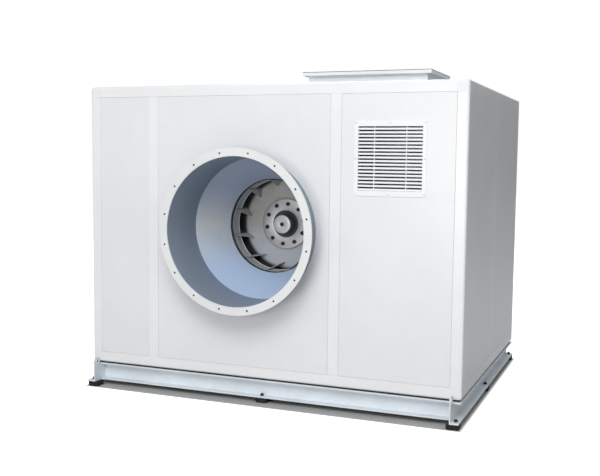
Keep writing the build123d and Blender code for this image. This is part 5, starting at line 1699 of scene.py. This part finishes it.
@dataclass
class Studio:
    """Pale floor, soft light and the camera."""

    place: Place = (1.9548, -5.154, 1.3369)
    yaw: float = 21.74
    pitch: float = 5.04
    roll: float = 0.65
    lens: float = 53.36
    sensor: float = 36.0
    view_end: float = 200.0
    floor_size: float = 60.0
    floor_drop: float = 0.5 * MM
    lamps: tuple[Lamp, ...] = (
        Lamp("key", (1.35, -5.9, 5.3), (0.0, -0.8, 0.9), 250.0, 3.4),
        Lamp("front", (0.2, -7.4, 1.3), (-0.1, -0.8, 1.0), 92.0, 2.0),
        Lamp("rear", (-1.5, 4.6, 5.6), (0.0, 0.9, 0.9), 230.0, 3.0),
    )
    fill: float = 0.36
    band: float = 0.07
    high: float = 0.7
    eye_level_tone: tuple = (0.32, 0.32, 0.38, 1.0)
    above_tone: tuple = (1.75, 1.72, 1.64, 1.0)
    high_tone: tuple = (0.98, 1.0, 1.03, 1.0)
    floor_shade: float = 0.45
    floor_glow: float = 1.0
    floor_bounce: float = 0.06
    painted_shadow_reach: float = 0.025

    def camera(self) -> None:
        """Set up the camera from its place, its turns and its lens."""
        yaw, pitch, roll = (math.radians(a) for a in (self.yaw, self.pitch, self.roll))
        ahead = Vector((-math.sin(yaw) * math.cos(pitch), math.cos(yaw) * math.cos(pitch), -math.sin(pitch)))
        right = Vector((math.cos(yaw), math.sin(yaw), 0.0))
        up = right.cross(ahead)
        across = math.cos(roll) * right + math.sin(roll) * up
        above = -math.sin(roll) * right + math.cos(roll) * up
        data = bpy.data.cameras.new("camera")
        data.lens = self.lens
        data.sensor_width = self.sensor
        data.clip_end = self.view_end
        camera = new_object("camera", data)
        columns = Matrix((across, above, -ahead)).transposed()
        camera.matrix_world = Matrix.Translation(self.place) @ columns.to_4x4()
        bpy.context.scene.camera = camera

    def surround(self) -> None:
        """Set the pale surround: plain white where it is seen, toned by height where it lights."""
        world = bpy.data.worlds.new("surround")
        world.use_nodes = True
        graph = Graph(world.node_tree, "ShaderNode")
        graph.tree.nodes.clear()
        seen = graph.add("Background", Color=WHITE)
        soft = graph.add("Background", Color=self.skyline(graph), Strength=self.fill)
        mix = graph.add("MixShader", Fac=graph.add("LightPath").outputs["Is Camera Ray"])
        graph.add("OutputWorld", Surface=graph.fill(mix, 1, soft.outputs[0], seen.outputs[0]))
        bpy.context.scene.world = world

    def skyline(self, graph: Graph) -> Socket:
        """Tones by height, with a duller band at the level of the eye.

        Args:
            graph: The surround's node tree.

        Returns:
            The colour's socket.
        """
        height = graph.add("SeparateXYZ", Vector=graph.add("TexCoord").outputs["Generated"]).outputs["Z"]
        tones = graph.add("ValToRGB", Fac=height)
        stops = tones.color_ramp.elements
        first, last = stops[0], stops[-1]
        first.position, first.color = 0.0, self.eye_level_tone
        last.position, last.color = self.high, self.high_tone
        stops.new(self.band).color = self.eye_level_tone
        stops.new(2.5 * self.band).color = self.above_tone
        return tones.outputs[0]

    def floor(self) -> None:
        """Lay the pale floor."""
        half = self.floor_size / 2
        mesh = bpy.data.meshes.new("floor")
        corners = [(x, y, -self.floor_drop) for x, y in oblong(-half, -half, half, half)]
        mesh.from_pydata(corners, [], [(0, 1, 2, 3)])
        floor = new_object("floor", mesh)
        board = Board("floor_pale")
        matt = board.add("BsdfDiffuse", Color=(*[self.floor_shade] * 3, 1.0)).outputs[0]
        place = board.add("TexCoord").outputs["Object"]
        # The glow fades out under the pads' footprint: a painted contact shadow on the floor.
        clear = board.clear_of(place, Span.of("rubber_pads"), self.painted_shadow_reach)
        glow, dark = (
            board.add("Emission", Strength=board.maths("MULTIPLY", clear, strength)).outputs[0]
            for strength in (self.floor_glow, self.floor_bounce)
        )
        lift = board.add("MixShader", Fac=board.add("LightPath").outputs["Is Camera Ray"])
        lifted = board.fill(lift, 1, dark, glow)
        board.feed(board.output.inputs[0], board.fill(board.add("AddShader"), 0, matt, lifted))
        mesh.materials.append(board.material)

    def build(self) -> None:
        """Set up the whole studio."""
        bpy.context.scene.view_settings.view_transform = "Standard"
        self.camera()
        self.surround()
        self.floor()
        for lamp in self.lamps:
            lamp.build()


ROW = row_recipe()
SCATTER = scatter_recipe()
PLATE = plate_recipe()


def main() -> None:
    """Build the studio and every assembly."""
    for assembly in (
        Studio(), Cabinet(), Louvre(), Inlet(), Wheel(), Scroll(), Outlet(), Base(), Drive(), Motor(),
        ServiceDoor(),
    ):
        assembly.build()
        log.info("%s done", type(assembly).__name__)
    bpy.context.view_layer.update()


if __name__ == "__main__":
    main()
